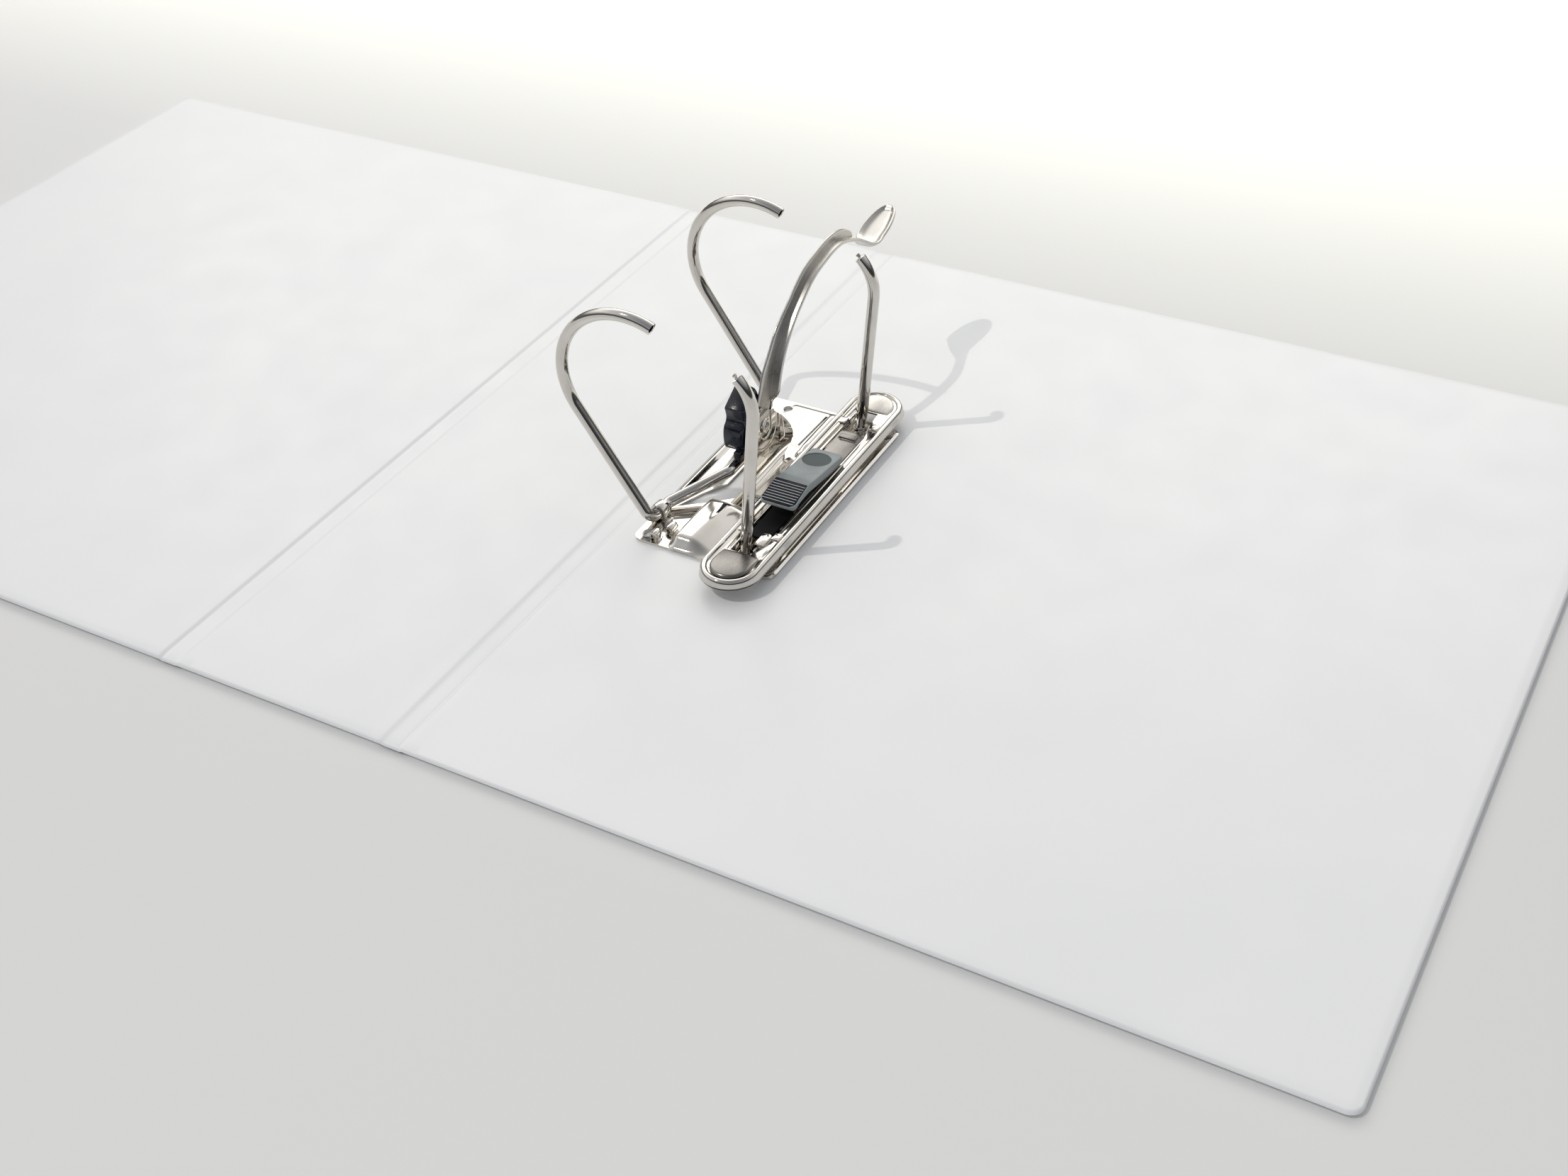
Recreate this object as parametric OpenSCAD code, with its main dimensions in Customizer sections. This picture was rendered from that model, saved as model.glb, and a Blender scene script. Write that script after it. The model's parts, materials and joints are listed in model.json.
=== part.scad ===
// Lever arch file lying open: two covers and a spine joined by film hinges, with a
// lever arch mechanism riveted to the rear cover.
// The part stands on its outer film at z = 0, with the spine's centre at the origin.
// The rear cover lies towards +x, the front cover towards -x, the head of the file towards +y.

/* [Cover] */
// Height of the file along the spine
cover_h = 318; // [290:1:340]
// Width of each cover from its hinge line to its free edge
cover_w = 285; // [250:1:310]
// Width of the spine board
spine_w = 80; // [72:1:100]
// Gap between two boards, where the films are welded into a hinge
hinge_gap = 8; // [7:0.5:12]
// Height of a hinge's welded film above the table
hinge_z = 0.5; // [0.2:0.1:0.8]
// Thickness of the greyboard
board_t = 2; // [1.6:0.1:3]
// Thickness of one film
film_t = 0.3; // [0.2:0.05:0.6]
// Radius of a cover's two free corners
corner_r = 4; // [2:0.5:10]

/* [Mechanism] */
// Offset of the posts' middle from the middle of the file's height
mech_y = 3; // [-20:1:20]
// Spacing of the two posts along the spine
post_spacing = 80; // [80:1:100]
// Diameter of the posts and of the arch wire
rod_d = 4; // [3.4:0.1:4.4]
// Radial clearance of a running fit
run_fit = 0.06; // [0.02:0.01:0.1]
// Clearance between pieces that pass each other
pass_gap = 0.4; // [0.3:0.1:0.8]

/* [Base plate] */
// Thickness of the stamped sheet
sheet_t = 1; // [0.8:0.1:1.2]
// Sheet left of the arch pivot
base_left = 2.7; // [1:0.1:4]
// Sheet right of the posts' feet
base_right = 13.9; // [11:0.1:18]
// Sheet beyond the near post
base_near = 8; // [6:0.5:14]
// Sheet beyond the far post
base_far = 4; // [4:0.5:14]
// Radius of the plate's corners
base_corner_r = 3; // [1:0.5:5]
// Height of the raised pan
pan_h = 3.4; // [2:0.2:5]
// Width of the raised pan across the plate
pan_w = 14; // [8:0.5:15]
// Length of the raised pan along the plate
pan_l = 22; // [14:0.5:24]

/* [Posts] */
// Place of a post's foot, from the hinge line
post_x = 48.9; // [44:0.1:56]
// Outward lean of the posts
post_lean = 6.9; // [4:0.1:9]
// Height at which a post starts to bend inwards
post_straight = 54.5; // [50:0.5:62]
// Radius of the post's bend
post_bend_r = 17; // [14:0.5:20]
// Angle through which the post bends
post_bend = 50; // [40:1:55]
// Height of the tapered foot
foot_h = 8; // [5:0.5:10]
// Diameter of the foot where it is staked
foot_d = 3; // [2.4:0.1:3.2]
// Diameter of the pin on a post's tip
tip_pin_d = 1.2; // [1:0.1:1.4]
// Length of the pin on a post's tip
tip_pin_l = 1.8; // [1:0.1:2]

/* [Arches] */
// Place of the arch pivot, from the hinge line
arch_x = 13.2; // [11:0.1:16]
// Height of the arch pivot above the cover
arch_z = 3.4; // [3.4:0.1:5]
// Angle through which the arches turn to close
arch_close = 23.5; // [20:0.5:28]
// Lean of the open arch's straight leg
leg_lean = 32.4; // [28:0.1:36]
// Radius of the arch's first bend
shoulder_r = 25; // [20:0.5:28]
// Angle of the arch's first bend
shoulder_turn = 46; // [40:1:60]
// Reach of the crank from the pivot line
crank_reach = 13.6; // [12:0.1:15]
// Rise of the open crank above the pivot line
crank_rise = 5.4; // [5:0.1:8]
// Near end of the crank's straight run
crank_near = -12; // [-16:0.5:-8]
// Far end of the crank's straight run
crank_far = 22; // [20.5:0.5:24]
// Run of the wire along each pivot, inside the leg
pivot_run = 10.5; // [10:0.5:12]
// Radius of the wire's bends at the pivots and the crank
wire_bend_r = 3.5; // [3:0.1:4]
// Length of the stamped loop that holds the wire
loop_l = 4; // [3:0.2:4.4]
// Wall of the stamped loop
loop_wall = 1; // [0.8:0.1:1.4]
// Bore in an arch's end, which takes the post's pin
tip_bore_d = 2.8; // [2.6:0.1:3]
// Depth of the bore in an arch's end
tip_bore_l = 3; // [2.4:0.1:4]

/* [Lever] */
// Place of the lever's pivot along the spine, from the posts' middle
lever_y = 3.4; // [-2:0.1:8]
// Height of the lever's pivot above the cover
lever_z = 19.5; // [19:0.1:22]
// Place of the lever's web, from the hinge line
lever_x = 30; // [29.6:0.1:31]
// Thickness of the lever's sheet
lever_t = 1.2; // [1:0.1:1.4]
// Reach of the lever's curve from its pivot to the thumb pad
lever_reach = 79.3; // [70:0.1:84]
// Height of the curve's end above the pivot
lever_rise = 27; // [24:0.5:32]
// Height that the curve bulges towards
lever_crown = 50.3; // [44:0.1:54]
// Start of the curve beside the pivot
lever_root = 7; // [6.8:0.1:8]
// Width of the flange along the lever's inner edge
flange_w = 3.4; // [2.6:0.1:5]
// Width of the web at the pivot
web_root = 9.5; // [8:0.1:11]
// Width of the web near the thumb pad
web_tip = 6; // [4:0.1:7]
// Radius of the web's round end at the pivot
hub_r = 6.4; // [5.6:0.1:7]
// Angle through which the lever turns to close
lever_close = 25; // [22:0.5:26]
// Length of the thumb pad
pad_l = 26.8; // [22:0.1:30]
// Width of the thumb pad
pad_w = 11.6; // [10:0.1:16]
// Upward tilt of the thumb pad
pad_tilt = 15; // [0:1:20]
// How far the thumb pad reaches back under the curve's end
pad_back = 5; // [1.5:0.1:6]
// Height of the rim round the thumb pad
pad_rim = 1.2; // [0.6:0.1:2]
// Width of the rim round the thumb pad
pad_rim_w = 1.4; // [1:0.1:2]

/* [Lever bracket] */
// Thickness of the bracket's sheet
bracket_t = 1.6; // [1.2:0.1:2]
// Radius of the bracket's top, round the rivet
bracket_top_r = 7; // [6:0.1:8]
// Width of the bracket's foot along the spine
bracket_w = 32; // [26:0.5:36]
// Reach of the bracket's foot across the base plate
bracket_foot = 6; // [4.5:0.5:7]
// Radius inside the bracket's bend
bracket_bend_r = 3; // [2:0.5:4]
// Diameter of the lever's rivet
rivet_d = 4; // [3.2:0.1:4.6]
// Diameter of the rivet's heads
rivet_head_d = 6.4; // [5.4:0.1:7]
// Thickness of the rivet's heads
rivet_head_t = 1.1; // [0.8:0.1:1.4]

/* [Cam block] */
// Thickness of the block beside the lever
block_t = 7.4; // [6:0.1:8]
// Half width of the block, from the pivot
block_half = 9.6; // [8.5:0.1:11]
// Height of the block's ridge above the pivot
block_top = 14; // [11:0.5:16]
// Height of the block's shoulders above the pivot
block_shoulder = 8.6; // [6:0.1:10]
// Radius of the nose that presses on the crank
nose_r = 3; // [2.4:0.1:3.4]
// Clearance between the nose and the crank
nose_gap = 0.6; // [0.5:0.05:1]

/* [Compressor] */
// Length of the compressor bar
bar_l = 120; // [116:1:130]
// Width of the compressor bar
bar_w = 22; // [20:0.5:24]
// Height of the compressor bar
bar_h = 4.6; // [4:0.1:6]
// Thickness of the bar's sheet
bar_t = 0.8; // [0.6:0.1:1]
// Width of the bead round the bar's top
bead_w = 1.8; // [1.4:0.1:2.6]
// Drop from the bead to the end pads
pad_drop = 0.9; // [0.4:0.1:1.4]
// Width of the bar's outer lip
lip_w = 1.6; // [1:0.1:2]
// Place of the bar's axis, from the hinge line
bar_x = 52; // [51.4:0.1:52.6]
// Offset of the bar's middle from the posts' middle
bar_y = -4.5; // [-5:0.1:-3]
// Height of the bar's underside above the cover
bar_z = 3.5; // [3:0.1:5]
// Width of the opening
slot_w = 13; // [12.5:0.1:14]
// Height of a clamp strip
strip_h = 2.4; // [1.6:0.1:2.8]
// Space between the two clamp strips
strip_gap = 9.6; // [9.4:0.1:10.4]
// Thickness of a clamp strip
strip_t = 0.6; // [0.4:0.1:0.8]

/* [Lock] */
// Length of the slider's button
button_l = 35.3; // [31:0.1:37]
// Offset of the button's middle from the bar's middle
button_offset = -1.9; // [-3:0.1:1]
// Height of the button at its crest
button_h = 6.5; // [5.5:0.1:7]
// Height of the button at its far end
button_far_h = 3; // [2.4:0.1:4]
// Share of the button's length that slopes and carries ribs
ramp_share = 0.31; // [0.25:0.01:0.4]
// Drop of the ramp at its low end
ramp_drop = 1.8; // [0.8:0.1:2.4]
// Number of ribs on the ramp
ribs = 8; // [4:1:10]
// Diameter of the round dimple on the button
dimple_d = 9.8; // [6:0.1:10]
// Distance of the dimple's middle from the button's far end
dimple_back = 7.2; // [6:0.1:9]
// Depth of the dimple
dimple_depth = 0.5; // [0.3:0.1:0.8]
// Thickness of the lock plate
lock_t = 0.8; // [0.6:0.1:1]
// Length of the lock plate beyond the button
lock_tail = 18; // [10:0.5:19]

/* [Base rivets] */
// Diameter of a base rivet's shank
base_rivet_d = 3.4; // [3:0.1:4]
// Diameter of a base rivet's upper head
base_head_d = 5.2; // [4.6:0.1:6]
// Diameter of a base rivet's flush outer head
outer_head_d = 8; // [6.5:0.5:9]
// Bore down a base rivet
base_rivet_bore = 2; // [1.6:0.1:2.2]

/* [Hidden] */
$fn = 48;

white = "#EFEFED";
grey_board = "#B9AE9C";
nickel = "#C9C7C1";
bright_nickel = "#DDDBD6";
dark_plastic = "#2A3038";
grey_plastic = "#7B8788";

cover_t = board_t + 2 * film_t;
hinge_x = (spine_w + hinge_gap) / 2;
rod_r = rod_d / 2;
bead_r = rod_r + 0.04;

// Directions in the xz plane, measured from +x towards +z
function along(a) = [cos(a), sin(a)];
// Step along a bend of radius r that turns clockwise from direction a to direction b
function bend_step(r, a, b) = r * [sin(a) - sin(b), cos(b) - cos(a)];
function turned(p, a) = [p.x * cos(a) + p.y * sin(a), p.y * cos(a) - p.x * sin(a)];

// A post in the xz plane: straight from its foot, then bent inwards to its tip
post_dir = 90 - post_lean;
post_tip_dir = post_dir + post_bend;
post_bend_start = [post_x + post_straight / tan(post_dir), post_straight];
post_bend_mid = post_bend_start + post_bend_r * along(post_dir + 90);
post_tip = post_bend_mid - post_bend_r * along(post_tip_dir + 90);

// The arch in the xz plane: its end meets the post's tip when it is turned by arch_close
pivot = [arch_x, arch_z];
arch_end = pivot + turned(post_tip + pass_gap * along(post_tip_dir) - pivot, -arch_close);
leg_dir = 90 + leg_lean;
shoulder_dir = leg_dir - shoulder_turn;
end_dir = post_tip_dir - 180 + arch_close;
shoulder_step = bend_step(shoulder_r, leg_dir, shoulder_dir);
crown_unit = bend_step(1, shoulder_dir, end_dir);
arch_rest = arch_end - pivot - shoulder_step;
arch_det = cos(leg_dir) * crown_unit.y - sin(leg_dir) * crown_unit.x;
leg_l = (arch_rest.x * crown_unit.y - arch_rest.y * crown_unit.x) / arch_det;
crown_r = (cos(leg_dir) * arch_rest.y - sin(leg_dir) * arch_rest.x) / arch_det;
shoulder_start = pivot + leg_l * along(leg_dir);
shoulder_mid = shoulder_start + shoulder_r * along(leg_dir - 90);
crown_start = shoulder_start + shoulder_step;
crown_mid = crown_start + crown_r * along(shoulder_dir - 90);

// The crank, and how far the arches' turn lowers it
half_spacing = post_spacing / 2;
collar_h = 0.8;
pivot_end = half_spacing - pivot_run;
crank = pivot + [crank_reach, crank_rise];
crank_closed = pivot + turned([crank_reach, crank_rise], arch_close);

// The base plate's edges
base_x0 = arch_x - base_left;
base_x1 = post_x + base_right;
base_y0 = -half_spacing - base_near;
base_y1 = half_spacing + base_far;
loop_y = half_spacing - wire_bend_r - pass_gap - loop_l / 2;
window_half = rod_r + 1;
window_x1 = lever_x + lever_t / 2;
pan_x = window_x1 + 1;
pan_y = base_y0 + 4 + pan_l / 2;
rivet_inset = 4;
base_rivet_places = [
    [base_x0 + rivet_inset, base_y0 + rivet_inset],
    [base_x0 + 10, base_y1 - rivet_inset - 1],
    [base_x1 - rivet_inset, base_y0 + rivet_inset],
    [base_x1 - rivet_inset, base_y1 - rivet_inset]
];

// The lever's inner edge is one curve, from the pivot's side to the thumb pad
lever_curve = [
    [lever_root, 0],
    [1.6 * lever_root, 0.7 * lever_crown],
    [0.62 * lever_reach, lever_crown],
    [lever_reach, lever_rise]
];
function curve_at(c, t) =
    pow(1 - t, 3) * c[0] + 3 * t * pow(1 - t, 2) * c[1] + 3 * t * t * (1 - t) * c[2] + pow(t, 3) * c[3];
function curve_slope(c, t) =
    pow(1 - t, 2) * (c[1] - c[0]) + 2 * t * (1 - t) * (c[2] - c[1]) + t * t * (c[3] - c[2]);
function curve_side(c, t) = let (d = curve_slope(c, t)) [-d.y, d.x] / norm(d);
curve_steps = 24;
web_end = 0.88;
flange_start = 0.06;
function web_width(t) = let (u = t / web_end)
    (web_root + (web_tip - web_root) * u) * sqrt(max(0, 1 - pow(u, 8)));
function flange_t(i) = flange_start + (1 - flange_start) * i / curve_steps;
pad_start = lever_curve[3];
pad_centre = pad_start + (pad_l / 2 - pad_back) * along(pad_tilt) + 0.4 * lever_t * along(pad_tilt + 90);

// The bracket and the lever's rivet, side by side with the web along x
web_x0 = lever_x - lever_t / 2;
web_x1 = lever_x + lever_t / 2;
bracket_x0 = web_x1 + pass_gap;
bracket_x1 = bracket_x0 + bracket_t;
tail_x0 = web_x0 - pass_gap - rivet_head_t;

// The nose of the cam block follows the crank as the lever closes
nose_z = crank.y + rod_r + nose_gap + nose_r - lever_z;
nose_closed_z = crank_closed.y + rod_r + nose_gap + nose_r - lever_z;
nose_y = (nose_z * cos(lever_close) - nose_closed_z) / sin(lever_close);
block_bottom = nose_z - nose_r;

// The compressor bar and what slides in it
wall_w = bar_w - 2 * lip_w;
wall_l = bar_l - 2 * lip_w;
bar_top = bar_z + bar_h;
slot_l = post_spacing + 2 * rod_d;
notch_w = rod_d + 2;
notch_end = half_spacing + rod_r + pass_gap - bar_y;
notch_x = post_x + (bar_z + bar_h / 2) / tan(post_dir);
end_plate_z = bar_top - pad_drop - bar_t;
strip_z = end_plate_z - strip_h;
strip_l = slot_l + 2 * rod_d;
lock_z = end_plate_z - lock_t - 0.2;
button_z = end_plate_z + pass_gap;
lock_w = strip_gap - 2 * pass_gap;
button_y = bar_y + button_offset;
button_w = slot_w - 2 * pass_gap;
ramp_l = button_l * ramp_share;
top_fall = (button_h - button_far_h) / (button_l - ramp_l);
rib_pitch = ramp_l / (ribs + 1);
rib_w = rib_pitch * 0.45;
rib_h = 0.4;

module on_cover() {
    translate([hinge_x, mech_y, cover_t])
        children();
}

// A straight round rod from one point to another, tapered when r2 differs
module taper(from, to, r1, r2) {
    d = to - from;
    translate(from)
        rotate([0, acos(d.z / norm(d)), atan2(d.y, d.x)])
            cylinder(r1 = r1, r2 = r2, h = norm(d));
}

module rod(from, to, r) {
    taper(from, to, r, r);
}

// A wire along a route of points, bent to one radius at every inner point
function unit(v) = v / norm(v);
function turn(route, i) = acos(unit(route[i] - route[i - 1]) * unit(route[i + 1] - route[i]));
function bend_reach(route, i, radius) =
    i == 0 || i == len(route) - 1 ? 0 : radius * tan(turn(route, i) / 2);

// A barely proud bead where a straight run meets a bend
module bead(p) {
    translate(p)
        sphere(r = bead_r);
}

module wire(route, radius, r) {
    last = len(route) - 1;
    for (i = [0 : last - 1]) {
        d = unit(route[i + 1] - route[i]);
        rod(
            route[i] + bend_reach(route, i, radius) * d,
            route[i + 1] - bend_reach(route, i + 1, radius) * d,
            r
        );
    }
    for (i = [1 : last - 1]) {
        a = unit(route[i] - route[i - 1]);
        b = unit(route[i + 1] - route[i]);
        n = unit(cross(a, b));
        u = cross(a, n);
        mid = route[i] - bend_reach(route, i, radius) * a - radius * u;
        multmatrix([
            [u.x, a.x, n.x, mid.x],
            [u.y, a.y, n.y, mid.y],
            [u.z, a.z, n.z, mid.z],
            [0, 0, 0, 1]
        ])
            rotate_extrude(angle = turn(route, i))
                translate([radius, 0])
                    circle(r = r);
        bead(route[i] - bend_reach(route, i, radius) * a);
        bead(route[i] + bend_reach(route, i, radius) * b);
    }
}

// A round bend in an xz plane, round a middle point, from angle a to angle b
module bend(mid, y, radius, a, b, r) {
    translate([mid.x, y, mid.y])
        rotate([90, 0, 0])
            rotate([0, 0, a])
                rotate_extrude(angle = b - a)
                    translate([radius, 0])
                        circle(r = r);
}

// A shape drawn in the yz plane, made solid from x0 to x1
module across(x0, x1) {
    translate([x0, 0, 0])
        rotate([90, 0, 90])
            linear_extrude(x1 - x0)
                children();
}

// A bar outline with two round ends, long along y
module stadium(l, w) {
    square([w, l - w], center = true);
    for (side = [-1, 1])
        translate([0, side * (l - w) / 2])
            circle(d = w);
}

// A rectangle with round corners
module round_rect(x0, y0, x1, y1, r) {
    translate([x0 + r, y0])
        square([x1 - x0 - 2 * r, y1 - y0]);
    translate([x0, y0 + r])
        square([x1 - x0, y1 - y0 - 2 * r]);
    for (x = [x0 + r, x1 - r], y = [y0 + r, y1 - r])
        translate([x, y])
            circle(r = r);
}

// The outline of a panel: square at its hinge, with round free corners of radius r
module panel_outline(x0, x1, inset, r) {
    half = cover_h / 2 - inset;
    translate([x0 + inset, -half])
        square([x1 - x0 - inset - max(r, inset), 2 * half]);
    if (r > inset) {
        translate([x1 - r, -half + r - inset])
            square([r - inset, 2 * (half - r + inset)]);
        for (side = [-1, 1])
            translate([x1 - r, side * (half - r + inset)])
                circle(r = r - inset);
    }
}

module board(x0, x1, r) {
    color(grey_board)
        translate([0, 0, film_t])
            linear_extrude(board_t)
                panel_outline(x0, x1, film_t, r);
}

module outer_film(x0, x1, r) {
    color(white)
        difference() {
            linear_extrude(film_t + board_t)
                panel_outline(x0, x1, 0, r);
            translate([0, 0, film_t])
                linear_extrude(board_t + 1)
                    panel_outline(x0, x1, film_t, r);
        }
}

module lining(x0, x1, r) {
    color(white)
        translate([0, 0, film_t + board_t])
            linear_extrude(film_t)
                panel_outline(x0, x1, 0, r);
}

module hinge_film(x) {
    color(white)
        translate([x - hinge_gap / 2, -cover_h / 2, hinge_z])
            cube([hinge_gap, cover_h, 2 * film_t]);
}

// A cover reaches from the edge of its hinge to its free edge
cover_x0 = hinge_x + hinge_gap / 2;
cover_x1 = hinge_x + cover_w;

// Holes through the rear cover for the base rivets
module rivet_holes(d, z0, z1) {
    on_cover()
        for (place = base_rivet_places)
            translate([place.x, place.y, z0 - cover_t])
                cylinder(d = d, h = z1 - z0);
}

module rear_board() {
    color(grey_board)
        difference() {
            board(cover_x0, cover_x1, corner_r);
            rivet_holes(base_rivet_d, 0, cover_t);
            rivet_holes(outer_head_d, 0, 2 * film_t);
        }
}

module rear_outer_film() {
    color(white)
        difference() {
            outer_film(cover_x0, cover_x1, corner_r);
            rivet_holes(outer_head_d, -1, 2 * film_t);
        }
}

module rear_lining() {
    color(white)
        difference() {
            lining(cover_x0, cover_x1, corner_r);
            rivet_holes(base_rivet_d, 0, cover_t + 1);
            on_cover()
                for (side = [-1, 1])
                    translate([post_at(0, sheet_t).x, side * half_spacing, -film_t - 1])
                        cylinder(d = foot_d - 0.4, h = film_t + 2);
        }
}

module spine_board() {
    board(-spine_w / 2, spine_w / 2, 0);
}

module spine_outer_film() {
    outer_film(-spine_w / 2, spine_w / 2, 0);
}

module spine_lining() {
    lining(-spine_w / 2, spine_w / 2, 0);
}

module front_board() {
    mirror([1, 0, 0])
        board(cover_x0, cover_x1, corner_r);
}

module front_outer_film() {
    mirror([1, 0, 0])
        outer_film(cover_x0, cover_x1, corner_r);
}

module front_lining() {
    mirror([1, 0, 0])
        lining(cover_x0, cover_x1, corner_r);
}

module rear_hinge_film() {
    hinge_film(hinge_x);
}

module front_hinge_film() {
    hinge_film(-hinge_x);
}

// The raised pan of the base plate, one sheet thick, with sloping sides
module pan_block(drop) {
    slope = pan_h * 0.8;
    hull() {
        translate([pan_x, pan_y, sheet_t - 0.01 - drop])
            linear_extrude(0.01)
                square([pan_w - 2 * drop, pan_l - 2 * drop], center = true);
        translate([pan_x, pan_y, sheet_t + pan_h - 0.01 - drop])
            linear_extrude(0.01)
                square([pan_w - 2 * drop - 2 * slope, pan_l - 2 * drop - 2 * slope], center = true);
    }
}

module wire_loop(y, r) {
    translate([pivot.x, y + loop_l / 2, pivot.y])
        rotate([90, 0, 0])
            cylinder(r = r, h = loop_l);
}

// The window under the crank, which dips into it as the arches close
module crank_window() {
    near_end = [pivot.x, -pivot_end];
    near_run = [crank.x, crank_near] - near_end;
    near_side = window_half * [-near_run.y, near_run.x] / norm(near_run);
    far_end = [pivot.x, pivot_end];
    far_run = [crank.x, crank_far] - far_end;
    far_side = window_half * [-far_run.y, far_run.x] / norm(far_run);
    polygon([
        near_end + 0.12 * near_run,
        near_end + 0.6 * near_run + near_side,
        [crank.x - window_half, crank_near + 3],
        [crank.x - window_half, crank_far - 3],
        far_end + 0.6 * far_run - far_side,
        far_end + 0.12 * far_run,
        far_end + 0.6 * far_run + far_side,
        [window_x1, crank_far + window_half],
        [window_x1, crank_near - window_half],
        near_end + 0.6 * near_run - near_side
    ]);
}

module base_plate() {
    color(bright_nickel)
        on_cover()
            difference() {
                union() {
                    linear_extrude(sheet_t)
                        round_rect(base_x0, base_y0, base_x1, base_y1, base_corner_r);
                    pan_block(0);
                    for (side = [-1, 1])
                        wire_loop(side * loop_y, rod_r + run_fit + loop_wall);
                }
                for (side = [-1, 1]) {
                    wire_loop(side * loop_y, rod_r + run_fit);
                    translate([post_at(0, sheet_t).x, side * half_spacing, -1])
                        cylinder(d = foot_d - 0.4, h = sheet_t + 2);
                }
                translate([0, 0, -1])
                    linear_extrude(sheet_t + 2)
                        crank_window();
                pan_block(sheet_t);
                for (place = base_rivet_places)
                    translate([place.x, place.y, -1])
                        cylinder(d = base_rivet_d, h = sheet_t + 2);
            }
}

module base_rivets() {
    color(nickel)
        on_cover()
            for (place = base_rivet_places)
                translate([place.x, place.y, -cover_t])
                    difference() {
                        union() {
                            cylinder(d = outer_head_d, h = 2 * film_t);
                            cylinder(d = base_rivet_d, h = cover_t + sheet_t);
                            translate([0, 0, cover_t + sheet_t])
                                cylinder(d1 = base_head_d, d2 = base_head_d - 1, h = 0.6);
                        }
                        translate([0, 0, 2 * film_t])
                            cylinder(d = base_rivet_bore, h = cover_t + sheet_t + 1);
                    }
}

// The bracket's outline seen along x: a round top over wide flanks
module bracket_outline() {
    foot_z = sheet_t;
    flank_z = 9;
    translate([lever_y, lever_z])
        circle(r = bracket_top_r);
    polygon([
        [lever_y - bracket_w / 2, foot_z],
        [lever_y + bracket_w / 2, foot_z],
        [lever_y + bracket_w / 2 - 0.6, flank_z],
        [lever_y + bracket_top_r * cos(40), lever_z + bracket_top_r * sin(40)],
        [lever_y - bracket_top_r * cos(40), lever_z + bracket_top_r * sin(40)],
        [lever_y - bracket_w / 2 + 0.6, flank_z]
    ]);
}

// The bracket's sheet seen along y: upright, round the bend and out along the base plate
module bracket_profile() {
    r = bracket_bend_r;
    translate([bracket_x0, sheet_t + r + bracket_t])
        square([bracket_t, lever_z + bracket_top_r]);
    translate([bracket_x1 + r, sheet_t])
        square([bracket_foot - r, bracket_t]);
    translate([bracket_x1 + r, sheet_t + r + bracket_t])
        intersection() {
            difference() {
                circle(r = r + bracket_t);
                circle(r = r);
            }
            translate([-r - bracket_t, -r - bracket_t])
                square(r + bracket_t);
        }
}

module lever_bracket() {
    color(bright_nickel)
        on_cover()
            difference() {
                intersection() {
                    translate([0, lever_y + bracket_w / 2, 0])
                        rotate([90, 0, 0])
                            linear_extrude(bracket_w)
                                bracket_profile();
                    across(bracket_x0 - 1, bracket_x1 + bracket_foot + 1)
                        bracket_outline();
                }
                rod([bracket_x0 - 1, lever_y, lever_z], [bracket_x1 + 1, lever_y, lever_z], rivet_d / 2);
            }
}

module lever_rivet() {
    color(nickel)
        on_cover()
            translate([0, lever_y, lever_z])
                rotate([0, 90, 0]) {
                    translate([0, 0, tail_x0])
                        cylinder(d = rivet_head_d, h = rivet_head_t);
                    translate([0, 0, tail_x0])
                        cylinder(d = rivet_d, h = bracket_x1 - tail_x0);
                    translate([0, 0, bracket_x1])
                        cylinder(d1 = rivet_head_d, d2 = rivet_head_d - 1.2, h = rivet_head_t);
                }
}

// A point on a post's axis at height z
function post_at(y, z) = [post_x + z / tan(post_dir), y, z];

// A post: staked through the base plate, with a collar, a tapered foot and a bent end
module post(y) {
    color(bright_nickel)
        on_cover() {
            translate([post_at(y, sheet_t).x, y, -film_t])
                cylinder(d = foot_d - 0.4, h = film_t + sheet_t + collar_h);
            translate([post_at(y, sheet_t).x, y, sheet_t])
                cylinder(d = foot_d + 2, h = collar_h);
            taper(post_at(y, sheet_t + collar_h / 2), post_at(y, foot_h), foot_d / 2, rod_r);
            rod(post_at(y, foot_h), post_at(y, post_straight), rod_r);
            bend(post_bend_mid, y, post_bend_r, post_dir - 90, post_tip_dir - 90, rod_r);
            bead(post_at(y, foot_h));
            bead(post_at(y, post_straight));
        }
}

module post_pin(y) {
    color(nickel)
        on_cover()
            translate([post_tip.x, y, post_tip.y])
                rotate([0, 90 - post_tip_dir, 0])
                    cylinder(d = tip_pin_d, h = pass_gap + tip_pin_l);
}

module near_post() {
    post(-half_spacing);
}

module far_post() {
    post(half_spacing);
}

module near_post_pin() {
    post_pin(-half_spacing);
}

module far_post_pin() {
    post_pin(half_spacing);
}

// An arch's two bends, from its straight leg to its bored end
module arch_bends(y) {
    bend(shoulder_mid, y, shoulder_r, shoulder_dir + 90, leg_dir + 90, rod_r);
    difference() {
        bend(crown_mid, y, crown_r, end_dir + 90, shoulder_dir + 90, rod_r);
        translate([arch_end.x, y, arch_end.y])
            rotate([0, -90 - end_dir, 0])
                translate([0, 0, -1])
                    cylinder(d = tip_bore_d, h = tip_bore_l + 1);
    }
    bead([shoulder_start.x, y, shoulder_start.y]);
    bead([crown_start.x, y, crown_start.y]);
}

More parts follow.
